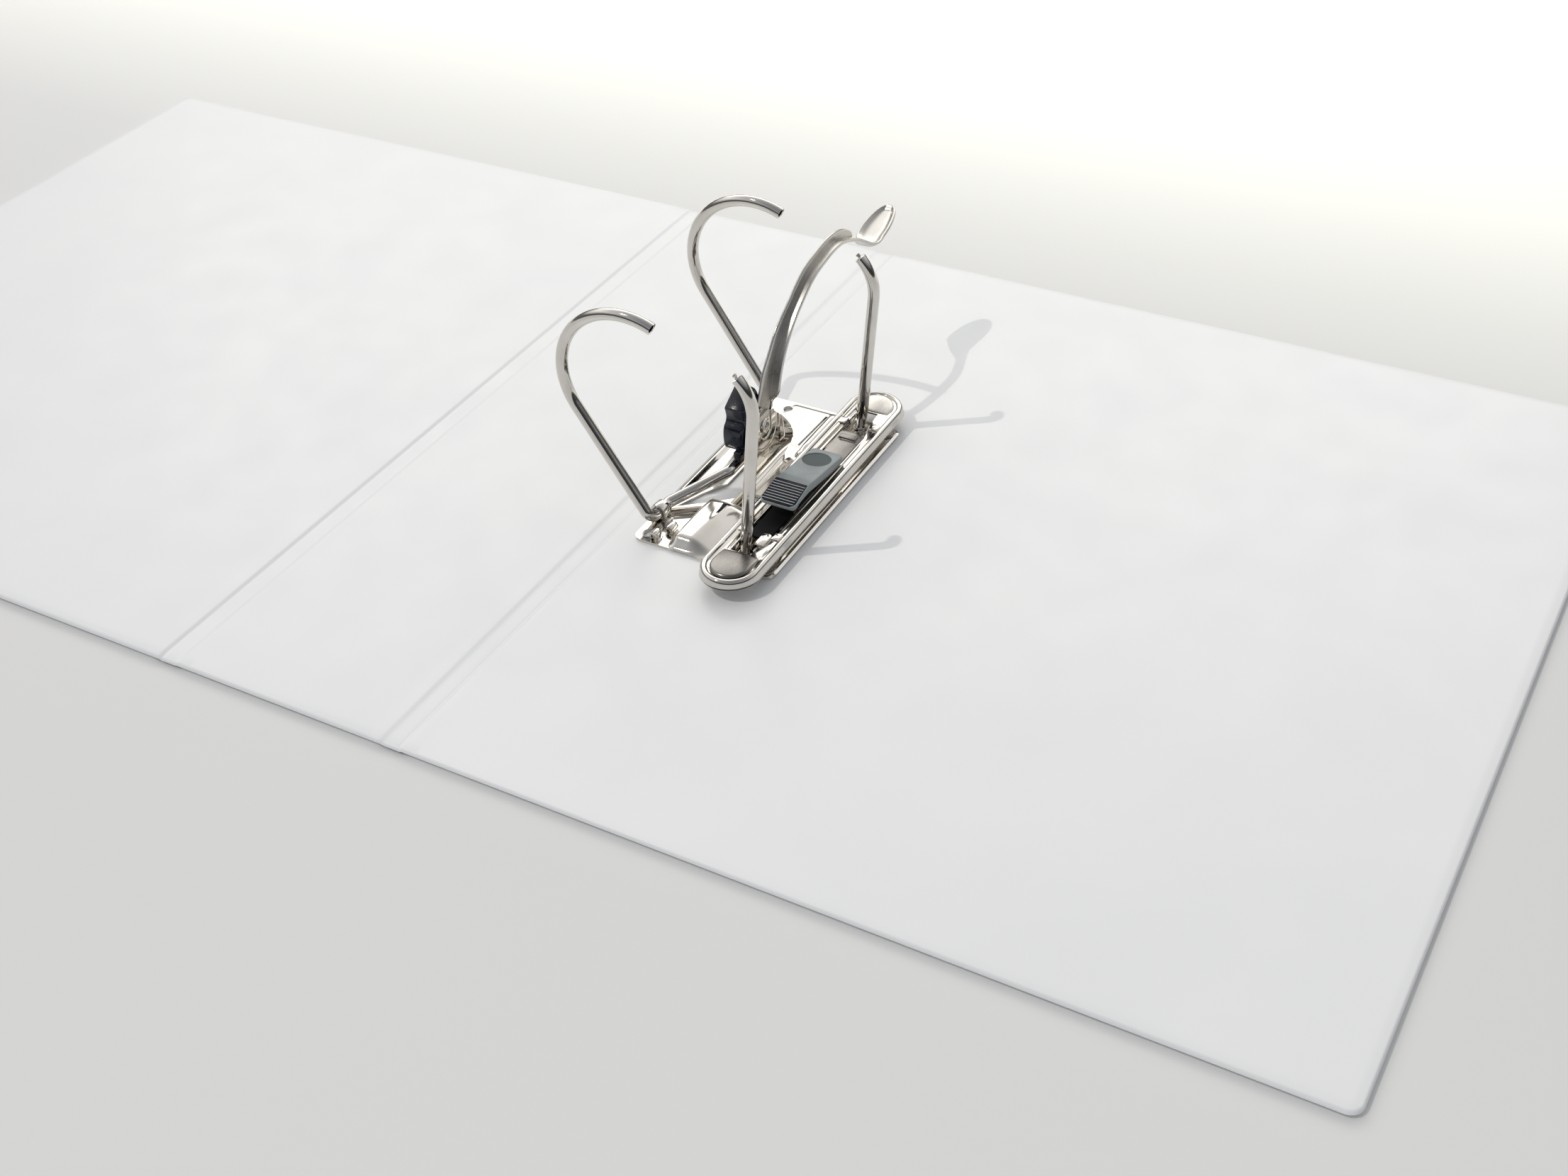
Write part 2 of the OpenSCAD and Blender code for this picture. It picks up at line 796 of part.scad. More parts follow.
// One wire: an arch, a pivot run, the crank, the other pivot run and the other arch
module arch_wire() {
    route = [
        [shoulder_start.x, -half_spacing, shoulder_start.y],
        [pivot.x, -half_spacing, pivot.y],
        [pivot.x, -pivot_end, pivot.y],
        [crank.x, crank_near, crank.y],
        [crank.x, crank_far, crank.y],
        [pivot.x, pivot_end, pivot.y],
        [pivot.x, half_spacing, pivot.y],
        [shoulder_start.x, half_spacing, shoulder_start.y]
    ];
    color(bright_nickel)
        on_cover() {
            wire(route, wire_bend_r, rod_r);
            for (side = [-1, 1])
                arch_bends(side * half_spacing);
        }
}

// The lever's web, seen along x: from the hub along the outer side of the curve
module web_outline() {
    circle(r = hub_r);
    polygon(concat(
        [for (i = [0 : curve_steps]) let (t = web_end * i / curve_steps)
            curve_at(lever_curve, t) - 0.5 * lever_t * curve_side(lever_curve, t)],
        [for (i = [curve_steps : -1 : 0]) let (t = web_end * i / curve_steps)
            curve_at(lever_curve, t) + web_width(t) * curve_side(lever_curve, t)]
    ));
}

// The flange along the curve's inner side, seen along x
module flange_outline() {
    polygon(concat(
        [for (i = [0 : curve_steps]) curve_at(lever_curve, flange_t(i))],
        [for (i = [curve_steps : -1 : 0]) let (t = flange_t(i))
            curve_at(lever_curve, t) - lever_t * curve_side(lever_curve, t)]
    ));
}

module pad_outline(inset) {
    polygon([for (a = [0 : 7.5 : 359])
        [(pad_w / 2 - inset) * cos(a), (pad_l / 2 - inset) * sin(a)]]);
}

module lever() {
    color(bright_nickel)
        on_cover()
            translate([0, lever_y, lever_z])
                difference() {
                    union() {
                        across(web_x0, web_x1)
                            web_outline();
                        across(web_x0, web_x0 + flange_w)
                            flange_outline();
                        translate([lever_x, pad_centre.x, pad_centre.y])
                            rotate([pad_tilt, 0, 0])
                                difference() {
                                    translate([0, 0, -lever_t])
                                        linear_extrude(lever_t + pad_rim)
                                            pad_outline(0);
                                    linear_extrude(pad_rim + 1)
                                        pad_outline(pad_rim_w);
                                }
                    }
                    rod([web_x0 - 1, 0, 0], [web_x1 + 1, 0, 0], rivet_d / 2 + run_fit);
                }
}

// The cam block, seen along x: a ridged hub with a nose over the crank and a short leg
module block_outline() {
    polygon([
        [0, block_top],
        [-block_half + 2, block_shoulder],
        [-block_half + 0.6, 2],
        [-block_half, block_bottom + 1.2],
        [-block_half + 1.4, block_bottom],
        [nose_y, nose_z - nose_r],
        [nose_y, nose_z + nose_r],
        [block_half, block_shoulder - 4]
    ]);
    translate([nose_y, nose_z])
        circle(r = nose_r);
}

module cam_block() {
    color(dark_plastic)
        on_cover()
            difference() {
                across(web_x0 - block_t, web_x0)
                    translate([lever_y, lever_z])
                        block_outline();
                rod(
                    [tail_x0 - pass_gap, lever_y, lever_z],
                    [web_x0 + 1, lever_y, lever_z],
                    rivet_head_d / 2 + pass_gap
                );
            }
}

module compressor_plate() {
    color(nickel)
        on_cover()
            translate([bar_x, bar_y, bar_z])
                difference() {
                    union() {
                        linear_extrude(bar_t)
                            stadium(bar_l, bar_w);
                        linear_extrude(bar_h - pad_drop)
                            stadium(wall_l, wall_w);
                        linear_extrude(bar_h)
                            difference() {
                                stadium(wall_l, wall_w);
                                stadium(wall_l - 2 * bead_w, wall_w - 2 * bead_w);
                            }
                    }
                    translate([0, 0, -1])
                        linear_extrude(end_plate_z - bar_z + 1)
                            stadium(wall_l - 2 * bar_t, wall_w - 2 * bar_t);
                    translate([-slot_w / 2, -slot_l / 2, 0])
                        cube([slot_w, slot_l, bar_h + 1]);
                    translate([notch_x - bar_x - notch_w / 2, -notch_end, 0])
                        cube([notch_w, 2 * notch_end, bar_h + 1]);
                }
}

module clamp_strip(side) {
    color(nickel)
        on_cover()
            translate([bar_x + side * (strip_gap + strip_t) / 2, bar_y, strip_z + strip_h / 2])
                cube([strip_t, strip_l, strip_h], center = true);
}

module left_clamp_strip() {
    clamp_strip(-1);
}

module right_clamp_strip() {
    clamp_strip(1);
}

module lock_plate() {
    color(nickel)
        on_cover()
            translate([bar_x - lock_w / 2, button_y - button_l / 2 + 2, lock_z])
                cube([lock_w, button_l - 2 + lock_tail, lock_t]);
}

// The button seen along x: a crest, a long slope down to the far end and a ribbed ramp down to the near end
module button_outline() {
    polygon([
        [-button_l / 2, 0],
        [button_l / 2, 0],
        [button_l / 2, button_far_h],
        [-button_l / 2 + ramp_l, button_h],
        [-button_l / 2, button_h - ramp_drop]
    ]);
}

module lock_button() {
    ramp_angle = atan(ramp_drop / ramp_l);
    color(grey_plastic)
        on_cover()
            translate([bar_x, button_y, button_z])
                difference() {
                    union() {
                        translate([-lock_w / 2, -button_l / 2 + 2, lock_z + lock_t - button_z])
                            cube([lock_w, button_l - 4, button_z - lock_z - lock_t]);
                        across(-button_w / 2, button_w / 2)
                            button_outline();
                        translate([0, -button_l / 2, button_h - ramp_drop])
                            rotate([ramp_angle, 0, 0])
                                for (i = [1 : ribs])
                                    translate([-button_w / 2, i * rib_pitch - rib_w / 2, -rib_h])
                                        cube([button_w, rib_w, 2 * rib_h]);
                    }
                    translate([0, button_l / 2 - dimple_back, button_far_h + dimple_back * top_fall])
                        rotate([-atan(top_fall), 0, 0])
                            translate([0, 0, -dimple_depth])
                                cylinder(d = dimple_d, h = dimple_depth + 1);
                }
}

rear_board();
rear_outer_film();
rear_lining();
spine_board();
spine_outer_film();
spine_lining();
front_board();
front_outer_film();
front_lining();
rear_hinge_film();
front_hinge_film();
base_plate();
base_rivets();
lever_bracket();
lever_rivet();
near_post();
far_post();
near_post_pin();
far_post_pin();
arch_wire();
lever();
cam_block();
compressor_plate();
left_clamp_strip();
right_clamp_strip();
lock_plate();
lock_button();
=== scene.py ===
import json
import math

import bmesh
import bpy
from mathutils import Matrix, Vector


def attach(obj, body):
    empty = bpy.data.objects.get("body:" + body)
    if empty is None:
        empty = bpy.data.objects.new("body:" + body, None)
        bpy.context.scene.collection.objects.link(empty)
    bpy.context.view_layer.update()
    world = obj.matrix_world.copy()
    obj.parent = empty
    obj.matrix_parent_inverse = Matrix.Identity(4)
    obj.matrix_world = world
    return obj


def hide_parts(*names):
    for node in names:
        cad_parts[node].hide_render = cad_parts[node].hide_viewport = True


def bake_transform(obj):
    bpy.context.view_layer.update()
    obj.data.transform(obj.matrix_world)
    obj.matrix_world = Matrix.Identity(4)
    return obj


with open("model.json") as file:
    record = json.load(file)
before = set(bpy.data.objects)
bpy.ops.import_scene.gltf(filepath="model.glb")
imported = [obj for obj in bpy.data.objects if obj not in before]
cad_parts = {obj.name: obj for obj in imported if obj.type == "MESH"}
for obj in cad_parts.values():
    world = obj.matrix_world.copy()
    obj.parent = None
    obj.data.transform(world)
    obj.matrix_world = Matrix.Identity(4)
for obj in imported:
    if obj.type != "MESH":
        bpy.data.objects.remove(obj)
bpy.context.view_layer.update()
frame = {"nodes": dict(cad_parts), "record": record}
cad_nodes = frame["nodes"]

# Every length below is in millimetres. Mechanism lengths count from the rear hinge line, along x,
# from the middle between the two posts, along y, and from the rear cover's surface, along z.
MM = 0.001
HINGE_X, MECHANISM_Y, COVER_THICK = 44, 3, 2.6
MECHANISM = Vector((HINGE_X, MECHANISM_Y, COVER_THICK))
COVER = Vector((0, 0, 0))


# Camera and lights

scene = bpy.context.scene
scene.view_settings.view_transform = "Standard"

camera = bpy.data.cameras.new("camera")
camera.lens = 45.207
camera.sensor_width = 36
camera.sensor_fit = "HORIZONTAL"
camera.clip_start = 0.01
camera_stand = bpy.data.objects.new("camera", camera)
scene.collection.objects.link(camera_stand)
camera_stand.location = (0.366805, -0.458486, 0.389437)
camera_stand.rotation_euler = [math.radians(turn) for turn in (51.3561, 3.017, 29.2861)]
scene.camera = camera_stand


def place_light(name, kind, energy, colour, place, aim, **shape):
    """Adds a light at a place, in metres, that shines along a direction."""
    made = bpy.data.lights.new(name, kind)
    made.energy = energy
    made.color = colour
    for field, value in shape.items():
        setattr(made, field, value)
    stand = bpy.data.objects.new(name, made)
    scene.collection.objects.link(stand)
    stand.location = place
    stand.rotation_euler = Vector(aim).to_track_quat("-Z", "Y").to_euler()
    return stand


place_light("hard_key", "SUN", 0.76, (1.0, 0.96, 0.89), (0, 0, 0), (0.54, 0.422, -1), angle=math.radians(0.7))
place_light(
    "far_panel", "AREA", 4.8, (1.0, 0.985, 0.93), (-0.5, 1.1, 0.8), (0.5, -1.1, -0.8),
    shape="RECTANGLE", size=1.6, size_y=0.7,
)
near_fill = place_light(
    "near_fill", "AREA", 3.5, (0.95, 0.98, 1.0), (0.3, -1.5, 0.5), (-0.3, 1.5, -0.5),
    shape="RECTANGLE", size=1.6, size_y=0.5,
)
near_fill.visible_glossy = False
near_fill.visible_camera = False
far_sweep = place_light(
    "far_sweep", "AREA", 14, (1.0, 0.995, 0.95), (-0.5, 1.45, 1.1), (0, 0, -1),
    shape="SQUARE", size=1.8, spread=math.radians(60),
)
far_sweep.visible_glossy = False


# Materials

def srgb(code):
    """A hex colour as linear red, green and blue with full alpha."""
    parts = [int(code[i:i + 2], 16) / 255 for i in (1, 3, 5)]
    return [c / 12.92 if c <= 0.04045 else ((c + 0.055) / 1.055) ** 2.4 for c in parts] + [1.0]


def add_node(tree, kind, settings=None, **links):
    """Adds one node, sets its fields, sockets and colour stops, and links the sockets given an output.
    A socket without a name of its own goes by its number, as i0."""
    made = tree.nodes.new(kind)
    for field, value in (settings or {}).items():
        if field == "stops":
            band = made.color_ramp.elements
            band[0].position, band[0].color = value[0]
            band[-1].position, band[-1].color = value[-1]
            for place, colour in value[1:-1]:
                band.new(place).color = colour
        elif isinstance(field, int) or field in made.inputs.keys():
            made.inputs[field].default_value = value
        else:
            setattr(made, field, value)
    for socket, source in links.items():
        numbered = socket[0] == "i" and socket[1:].isdigit()
        tree.links.new(source, made.inputs[int(socket[1:]) if numbered else socket])
    return made


def new_material(name):
    """A new material, with its tree, its Principled shader and its Object coordinates."""
    made = bpy.data.materials.new(name)
    made.use_nodes = True
    tree = made.node_tree
    place = tree.nodes.new("ShaderNodeTexCoord").outputs["Object"]
    return made, tree, tree.nodes["Principled BSDF"], place


def per_metre(size):
    """The texture scale at which one pattern cell is that many millimetres wide."""
    return 1000 / size


def film_finish():
    """White polypropylene film, calendered smooth and heat-welded over board: a soft even gloss, a faint
    cloudiness a few centimetres across, and a very fine pebble that breaks up highlights."""
    made, tree, shader, place = new_material("white_polypropylene_film")
    cloud = add_node(tree, "ShaderNodeTexNoise", {"Scale": per_metre(60), "Detail": 3}, Vector=place)
    tint = add_node(
        tree, "ShaderNodeValToRGB", {"stops": ((0.3, srgb("#ECEDEF")), (0.7, srgb("#EFF0F1")))},
        Fac=cloud.outputs["Fac"],
    )
    tree.links.new(tint.outputs["Color"], shader.inputs["Base Color"])
    pebble = add_node(tree, "ShaderNodeTexNoise", {"Scale": per_metre(0.7), "Detail": 2}, Vector=place)
    rub = add_node(tree, "ShaderNodeTexNoise", {"Scale": per_metre(18), "Detail": 6}, Vector=place)
    gloss = add_node(
        tree, "ShaderNodeMapRange", {"From Min": 0.3, "From Max": 0.75, "To Min": 0.3, "To Max": 0.42},
        Value=rub.outputs["Fac"],
    )
    tree.links.new(gloss.outputs["Result"], shader.inputs["Roughness"])
    wave = add_node(tree, "ShaderNodeTexNoise", {"Scale": per_metre(45), "Detail": 1}, Vector=place)
    slow = add_node(
        tree, "ShaderNodeBump", {"Strength": 0.25, "Distance": 0.0004}, Height=wave.outputs["Fac"]
    )
    fine = add_node(
        tree, "ShaderNodeBump", {"Strength": 0.06, "Distance": 0.00005},
        Height=pebble.outputs["Fac"], Normal=slow.outputs["Normal"],
    )
    tree.links.new(fine.outputs["Normal"], shader.inputs["Normal"])
    shader.inputs["IOR"].default_value = 1.49
    return made


def nickel_finish(name, tones, rough, drag, drag_size, bump):
    """Nickel plate on steel: a slightly warm mirror whose gloss wanders, with hairline drag marks that run
    along the metal as it left the rolls and the polishing belt."""
    made, tree, shader, place = new_material(name)
    shader.inputs["Metallic"].default_value = 1
    drift = add_node(tree, "ShaderNodeTexNoise", {"Scale": per_metre(9), "Detail": 3}, Vector=place)
    tone = add_node(
        tree, "ShaderNodeValToRGB", {"stops": ((0.3, srgb(tones[0])), (0.7, srgb(tones[1])))},
        Fac=drift.outputs["Fac"],
    )
    tree.links.new(tone.outputs["Color"], shader.inputs["Base Color"])
    along = add_node(tree, "ShaderNodeMapping", {"Scale": drag}, Vector=place)
    hair = add_node(
        tree, "ShaderNodeTexNoise", {"Scale": per_metre(drag_size), "Detail": 4, "Roughness": 0.6},
        Vector=along.outputs["Vector"],
    )
    smear = add_node(tree, "ShaderNodeTexNoise", {"Scale": per_metre(5), "Detail": 4}, Vector=place)
    mixed = add_node(
        tree, "ShaderNodeMath", {"operation": "MULTIPLY"}, i0=hair.outputs["Fac"], i1=smear.outputs["Fac"]
    )
    gloss = add_node(
        tree, "ShaderNodeMapRange",
        {"From Min": 0.12, "From Max": 0.42, "To Min": rough[0], "To Max": rough[1]},
        Value=mixed.outputs["Value"],
    )
    tree.links.new(gloss.outputs["Result"], shader.inputs["Roughness"])
    relief = add_node(
        tree, "ShaderNodeBump", {"Strength": bump, "Distance": 0.00003}, Height=hair.outputs["Fac"]
    )
    tree.links.new(relief.outputs["Normal"], shader.inputs["Normal"])
    return made


def block_finish():
    """Navy ABS, moulded in a polished tool: a dark wet gloss, dulled in patches and crossed by pale
    handling scratches a few millimetres long."""
    made, tree, shader, place = new_material("navy_moulded_abs")
    cloud = add_node(tree, "ShaderNodeTexNoise", {"Scale": per_metre(6), "Detail": 4}, Vector=place)
    body = add_node(
        tree, "ShaderNodeValToRGB", {"stops": ((0.3, srgb("#0B0E15")), (0.75, srgb("#1C2330")))},
        Fac=cloud.outputs["Fac"],
    )
    turned = add_node(
        tree, "ShaderNodeMapping", {"Rotation": (0.5, 0.9, 0.3), "Scale": (1, 5, 1)}, Vector=place
    )
    nick = add_node(
        tree, "ShaderNodeTexNoise", {"Scale": per_metre(2.4), "Detail": 6, "Roughness": 0.72},
        Vector=turned.outputs["Vector"],
    )
    scratch = add_node(
        tree, "ShaderNodeValToRGB", {"stops": ((0.64, (0, 0, 0, 1)), (0.72, (1, 1, 1, 1)))},
        Fac=nick.outputs["Fac"],
    )
    worn = add_node(
        tree, "ShaderNodeMix", {"data_type": "RGBA", 7: srgb("#71808C")},
        i0=scratch.outputs["Color"], i6=body.outputs["Color"],
    )
    tree.links.new(worn.outputs[2], shader.inputs["Base Color"])
    gloss = add_node(
        tree, "ShaderNodeMapRange", {"From Min": 0.3, "From Max": 0.75, "To Min": 0.08, "To Max": 0.2},
        Value=cloud.outputs["Fac"],
    )
    tree.links.new(gloss.outputs["Result"], shader.inputs["Roughness"])
    relief = add_node(
        tree, "ShaderNodeBump", {"Strength": 0.25, "Distance": 0.0001}, Height=nick.outputs["Fac"]
    )
    tree.links.new(relief.outputs["Normal"], shader.inputs["Normal"])
    shader.inputs["IOR"].default_value = 1.53
    return made


def button_finish(name, dark, light, rough, shine=0.5):
    """ABS moulded in a spark-eroded tool: a satin skin with a sub-millimetre sparkle, paler where thumbs
    have polished it."""
    made, tree, shader, place = new_material(name)
    cloud = add_node(tree, "ShaderNodeTexNoise", {"Scale": per_metre(5), "Detail": 4}, Vector=place)
    tone = add_node(
        tree, "ShaderNodeValToRGB", {"stops": ((0.3, srgb(dark)), (0.7, srgb(light)))},
        Fac=cloud.outputs["Fac"],
    )
    tree.links.new(tone.outputs["Color"], shader.inputs["Base Color"])
    spark = add_node(tree, "ShaderNodeTexNoise", {"Scale": per_metre(0.35), "Detail": 2}, Vector=place)
    gloss = add_node(
        tree, "ShaderNodeMapRange",
        {"From Min": 0.3, "From Max": 0.7, "To Min": rough[0], "To Max": rough[1]},
        Value=cloud.outputs["Fac"],
    )
    tree.links.new(gloss.outputs["Result"], shader.inputs["Roughness"])
    relief = add_node(
        tree, "ShaderNodeBump", {"Strength": 0.2, "Distance": 0.00005}, Height=spark.outputs["Fac"]
    )
    tree.links.new(relief.outputs["Normal"], shader.inputs["Normal"])
    shader.inputs["IOR"].default_value = 1.53
    shader.inputs["Specular IOR Level"].default_value = shine
    return made


def greyboard_finish():
    """Greyboard, pressed from waste paper: matt, with flecks a millimetre or two across."""
    made, tree, shader, place = new_material("pressed_greyboard")
    fleck = add_node(tree, "ShaderNodeTexNoise", {"Scale": per_metre(1.6), "Detail": 5}, Vector=place)
    tone = add_node(
        tree, "ShaderNodeValToRGB", {"stops": ((0.35, srgb("#A79C8B")), (0.65, srgb("#C2B8A8")))},
        Fac=fleck.outputs["Fac"],
    )
    tree.links.new(tone.outputs["Color"], shader.inputs["Base Color"])
    shader.inputs["Roughness"].default_value = 0.92
    return made


def floor_finish():
    """Painted studio floor: pale and matt, nearly even, with painted light that makes it paler towards the
    far side.
    """
    made, tree, shader, place = new_material("pale_painted_floor")
    cloud = add_node(tree, "ShaderNodeTexNoise", {"Scale": per_metre(700), "Detail": 3}, Vector=place)
    near = add_node(
        tree, "ShaderNodeValToRGB", {"stops": ((0.3, srgb("#E0E0E0")), (0.7, srgb("#E3E3E3")))},
        Fac=cloud.outputs["Fac"],
    )
    away = add_node(tree, "ShaderNodeSeparateXYZ", None, Vector=place)
    # Painted light: the floor's colour turns paler towards the far side.
    far_painted_light = add_node(
        tree, "ShaderNodeMapRange", {"From Min": 0.13, "From Max": 0.3, "To Min": 0, "To Max": 1},
        Value=away.outputs["Y"],
    )
    paint = add_node(
        tree, "ShaderNodeMix", {"data_type": "RGBA", 7: srgb("#FFFFF9")},
        i0=far_painted_light.outputs["Result"], i6=near.outputs["Color"],
    )
    tree.links.new(paint.outputs[2], shader.inputs["Base Color"])
    shader.inputs["Roughness"].default_value = 0.75
    return made


film = film_finish()
bright_nickel = nickel_finish(
    "bright_nickel_plate", ("#D3CFC8", "#DDD9D3"), (0.045, 0.11), (1, 0.2, 1), 0.5, 0.012
)
satin_nickel = nickel_finish(
    "satin_nickel_plate", ("#C3C0BB", "#CFCCC7"), (0.25, 0.35), (1, 0.12, 1), 0.35, 0.03
)
# A darker copy of the nickel: its tones are painted shade and painted dark reflection, for the near end pad
# and for the lock plate under the button.
brushed_nickel_painted_shade = nickel_finish(
    "brushed_nickel_plate_painted_shade", ("#777572", "#898682"), (0.24, 0.34), (1, 0.08, 1), 0.3, 0.05
)
navy_abs = block_finish()
grey_abs = button_finish("grey_green_moulded_abs", "#899193", "#9CA3A5", (0.38, 0.5))
# The dimple's plastic is the button's grey-green, painted much darker as shade in the recess.
dimple_abs_painted_shade = button_finish("grey_green_abs_matt_painted_shade", "#3F4B4D", "#4B5759", (0.5, 0.62))
# The ribs' plastic is the button's grey-green painted paler, as painted highlight on the rib crests.
rib_abs_painted_highlight = button_finish("grey_green_abs_painted_highlight", "#B4B6BC", "#C6C8CE", (0.3, 0.4))
# A near-black plastic that paints the dark reflection the glossy ramp shows of the dim horizon.
ramp_abs_painted_reflection = button_finish("dark_abs_painted_reflection", "#0B0D15", "#12161F", (0.4, 0.5), 0.2)
# A black plastic that paints the shade in the bar's slot under the button's near end.
black_abs_painted_shade = button_finish("black_matt_abs_painted_shade", "#07080A", "#0C0D10", (0.6, 0.75), 0.15)
greyboard = greyboard_finish()

slot_finish = {
    "cover_film": film,
    "greyboard": greyboard,
    "bright_nickel": bright_nickel,
    "satin_nickel": satin_nickel,
    "navy_plastic": navy_abs,
    "grey_plastic": grey_abs,
}
for part in frame["record"]["subparts"]:
    cad_nodes[part["node"]].data.materials.clear()
    cad_nodes[part["node"]].data.materials.append(slot_finish[part["material_slot"]])


# Ways of working

def spot(x, y, z, origin=MECHANISM):
    """A point in millimetres from an origin, as metres in the part's frame."""
    return (Vector((x, y, z)) + origin) * MM


def choose(*pieces):
    """Leaves edit mode and selects only these pieces; the first becomes the active one."""
    if bpy.context.mode != "OBJECT":
        bpy.ops.object.mode_set(mode="OBJECT")
    bpy.ops.object.select_all(action="DESELECT")
    for piece in pieces:
        piece.select_set(True)
    if pieces:
        bpy.context.view_layer.objects.active = pieces[0]


def begin(add, **settings):
    """Adds a primitive with all else deselected, puts its place into its mesh and opens it in edit mode."""
    choose()
    add(**settings)
    bpy.ops.object.transform_apply(location=True, rotation=True, scale=True)
    bpy.ops.object.mode_set(mode="EDIT")
    bpy.ops.mesh.select_all(action="SELECT")
    return bpy.context.object


def pick(piece, kind, test, origin=MECHANISM):
    """Selects the vertices, edges or faces whose middle, in millimetres, and direction pass a test."""
    bpy.ops.mesh.select_mode(type=kind)
    bpy.ops.mesh.select_all(action="DESELECT")
    mesh = bmesh.from_edit_mesh(piece.data)
    mesh.normal_update()
    if kind == "VERT":
        for point in mesh.verts:
            point.select_set(test(point.co / MM - origin, point.normal))
    elif kind == "EDGE":
        for edge in mesh.edges:
            a, b = edge.verts[0].co, edge.verts[1].co
            edge.select_set(test((a + b) / 2 / MM - origin, (b - a).normalized()))
    else:
        for face in mesh.faces:
            face.select_set(test(face.calc_center_median() / MM - origin, face.normal))
    mesh.select_flush_mode()
    bmesh.update_edit_mesh(piece.data)


def pull(x, y, z):
    """Extrudes what is selected by a step in millimetres."""
    bpy.ops.mesh.extrude_region_move(TRANSFORM_OT_translate={"value": (x * MM, y * MM, z * MM)})


def shift(x, y, z):
    """Moves what is selected by a step in millimetres."""
    bpy.ops.transform.translate(value=(x * MM, y * MM, z * MM))


def outwards():
    """Turns every face of the open mesh outwards."""
    bpy.ops.mesh.select_all(action="SELECT")
    bpy.ops.mesh.normals_make_consistent(inside=False)


def soften(piece, width, segments, angle):
    """Rounds the edges of a piece that are sharper than an angle, by a width in millimetres."""
    modify(
        piece, "BEVEL", width=width * MM, segments=segments,
        limit_method="ANGLE", angle_limit=math.radians(angle),
    )


def modify(piece, kind, **settings):
    """Adds a modifier to the piece and applies it."""
    choose(piece)
    step = piece.modifiers.new(kind.lower(), kind)
    for field, value in settings.items():
        setattr(step, field, value)
    bpy.ops.object.modifier_apply(modifier=step.name)


def join(first, *others):
    """Joins pieces into the first."""
    choose(first, *others)
    bpy.ops.object.join()


def cut(piece, tool):
    """Cuts a tool's shape out of the piece and throws the tool away."""
    modify(piece, "BOOLEAN", object=tool, operation="DIFFERENCE", solver="EXACT")
    bpy.data.objects.remove(tool, do_unlink=True)


def copy_of(piece):
    """A copy of a piece with its own mesh."""
    made = piece.copy()
    made.data = piece.data.copy()
    scene.collection.objects.link(made)
    return made


def hand_over(piece, name, finish, body, replaced=(), angle=35):
    """Names a finished piece, gives it its material, and fixes it to its body in place of its CAD nodes."""
    choose(piece)
    piece.name = name
    piece.data.name = name
    piece.data.materials.clear()
    piece.data.materials.append(finish)
    bpy.ops.object.shade_smooth_by_angle(angle=math.radians(angle))
    if replaced:
        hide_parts(*replaced)
    if body:
        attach(piece, body)


def form_sheet(columns, rows, place, origin=MECHANISM):
    """A flat blank of sheet, formed by moving each point across and along it to its place."""
    blank = begin(bpy.ops.mesh.primitive_grid_add, x_subdivisions=columns, y_subdivisions=rows, size=1)
    bpy.ops.object.mode_set(mode="OBJECT")
    for point in blank.data.vertices:
        point.co = spot(*place(point.co.x + 0.5, point.co.y + 0.5), origin)
    return blank


def plate_outline(points, plane):
    """A flat face whose corners are given in millimetres; plane puts a pair of numbers into space."""
    face = begin(bpy.ops.mesh.primitive_circle_add, vertices=len(points), radius=MM, fill_type="NGON")
    bpy.ops.object.mode_set(mode="OBJECT")
    for point, corner in zip(face.data.vertices, points):
        point.co = spot(*plane(*corner))
    bpy.ops.object.mode_set(mode="EDIT")
    bpy.ops.mesh.select_all(action="SELECT")
    return face


def bent_rod(route, bends, radius, sides=36):
    """Draws a round rod along a route of corners, bent to a radius at each inner one. Its ends stay open."""
    route = [spot(*p) for p in route]
    heading = (route[1] - route[0]).normalized()
    rod = begin(
        bpy.ops.mesh.primitive_circle_add, vertices=sides, radius=radius * MM,
        location=route[0], rotation=heading.to_track_quat("Z", "Y").to_euler(),
    )
    here = route[0]
    for corner, after, bend in zip(route[1:-1], route[2:], bends):
        onward = (after - corner).normalized()
        angle = heading.angle(onward)
        reach = bend * MM * math.tan(angle / 2)
        start = corner - reach * heading
        if (start - here).length > 1e-6:
            bpy.ops.mesh.extrude_region_move(TRANSFORM_OT_translate={"value": start - here})
        axis = heading.cross(onward).normalized()
        bpy.ops.mesh.spin(
            steps=max(3, round(math.degrees(angle) / 4)), angle=-angle,
            center=start + bend * MM * axis.cross(heading), axis=axis,
        )
        here = corner + reach * onward
        heading = onward
    if (route[-1] - here).length > 1e-6:
        bpy.ops.mesh.extrude_region_move(TRANSFORM_OT_translate={"value": route[-1] - here})
    return rod


def pick_ring(rod, centre, heading, radius):
    """Selects the open ring of a rod that lies round a point."""
    def on_ring(p, n):
        step = p - Vector(centre)
        return abs(step.dot(heading)) < 0.02 and abs(step.length - radius) < 0.05
    pick(rod, "VERT", on_ring)


def bored_end(rod, centre, heading, radius, bore, depth):
    """Closes a rod's end with a small chamfer and a bore down its middle."""
    pick_ring(rod, centre, heading, radius)
    bpy.ops.mesh.edge_face_add()
    bpy.ops.mesh.inset(thickness=0.22 * MM, depth=0.2 * MM)
    bpy.ops.mesh.inset(thickness=(radius - 0.22 - bore) * MM, depth=0)
    pull(*(-depth * Vector(heading)))


# Sizes that follow the solids

def toward(angle):
    """A direction in the xz plane, from +x towards +z."""
    return Vector((math.cos(math.radians(angle)), math.sin(math.radians(angle))))


def heading_of(angle):
    """The same direction, in space."""
    step = toward(angle)
    return Vector((step.x, 0, step.y))


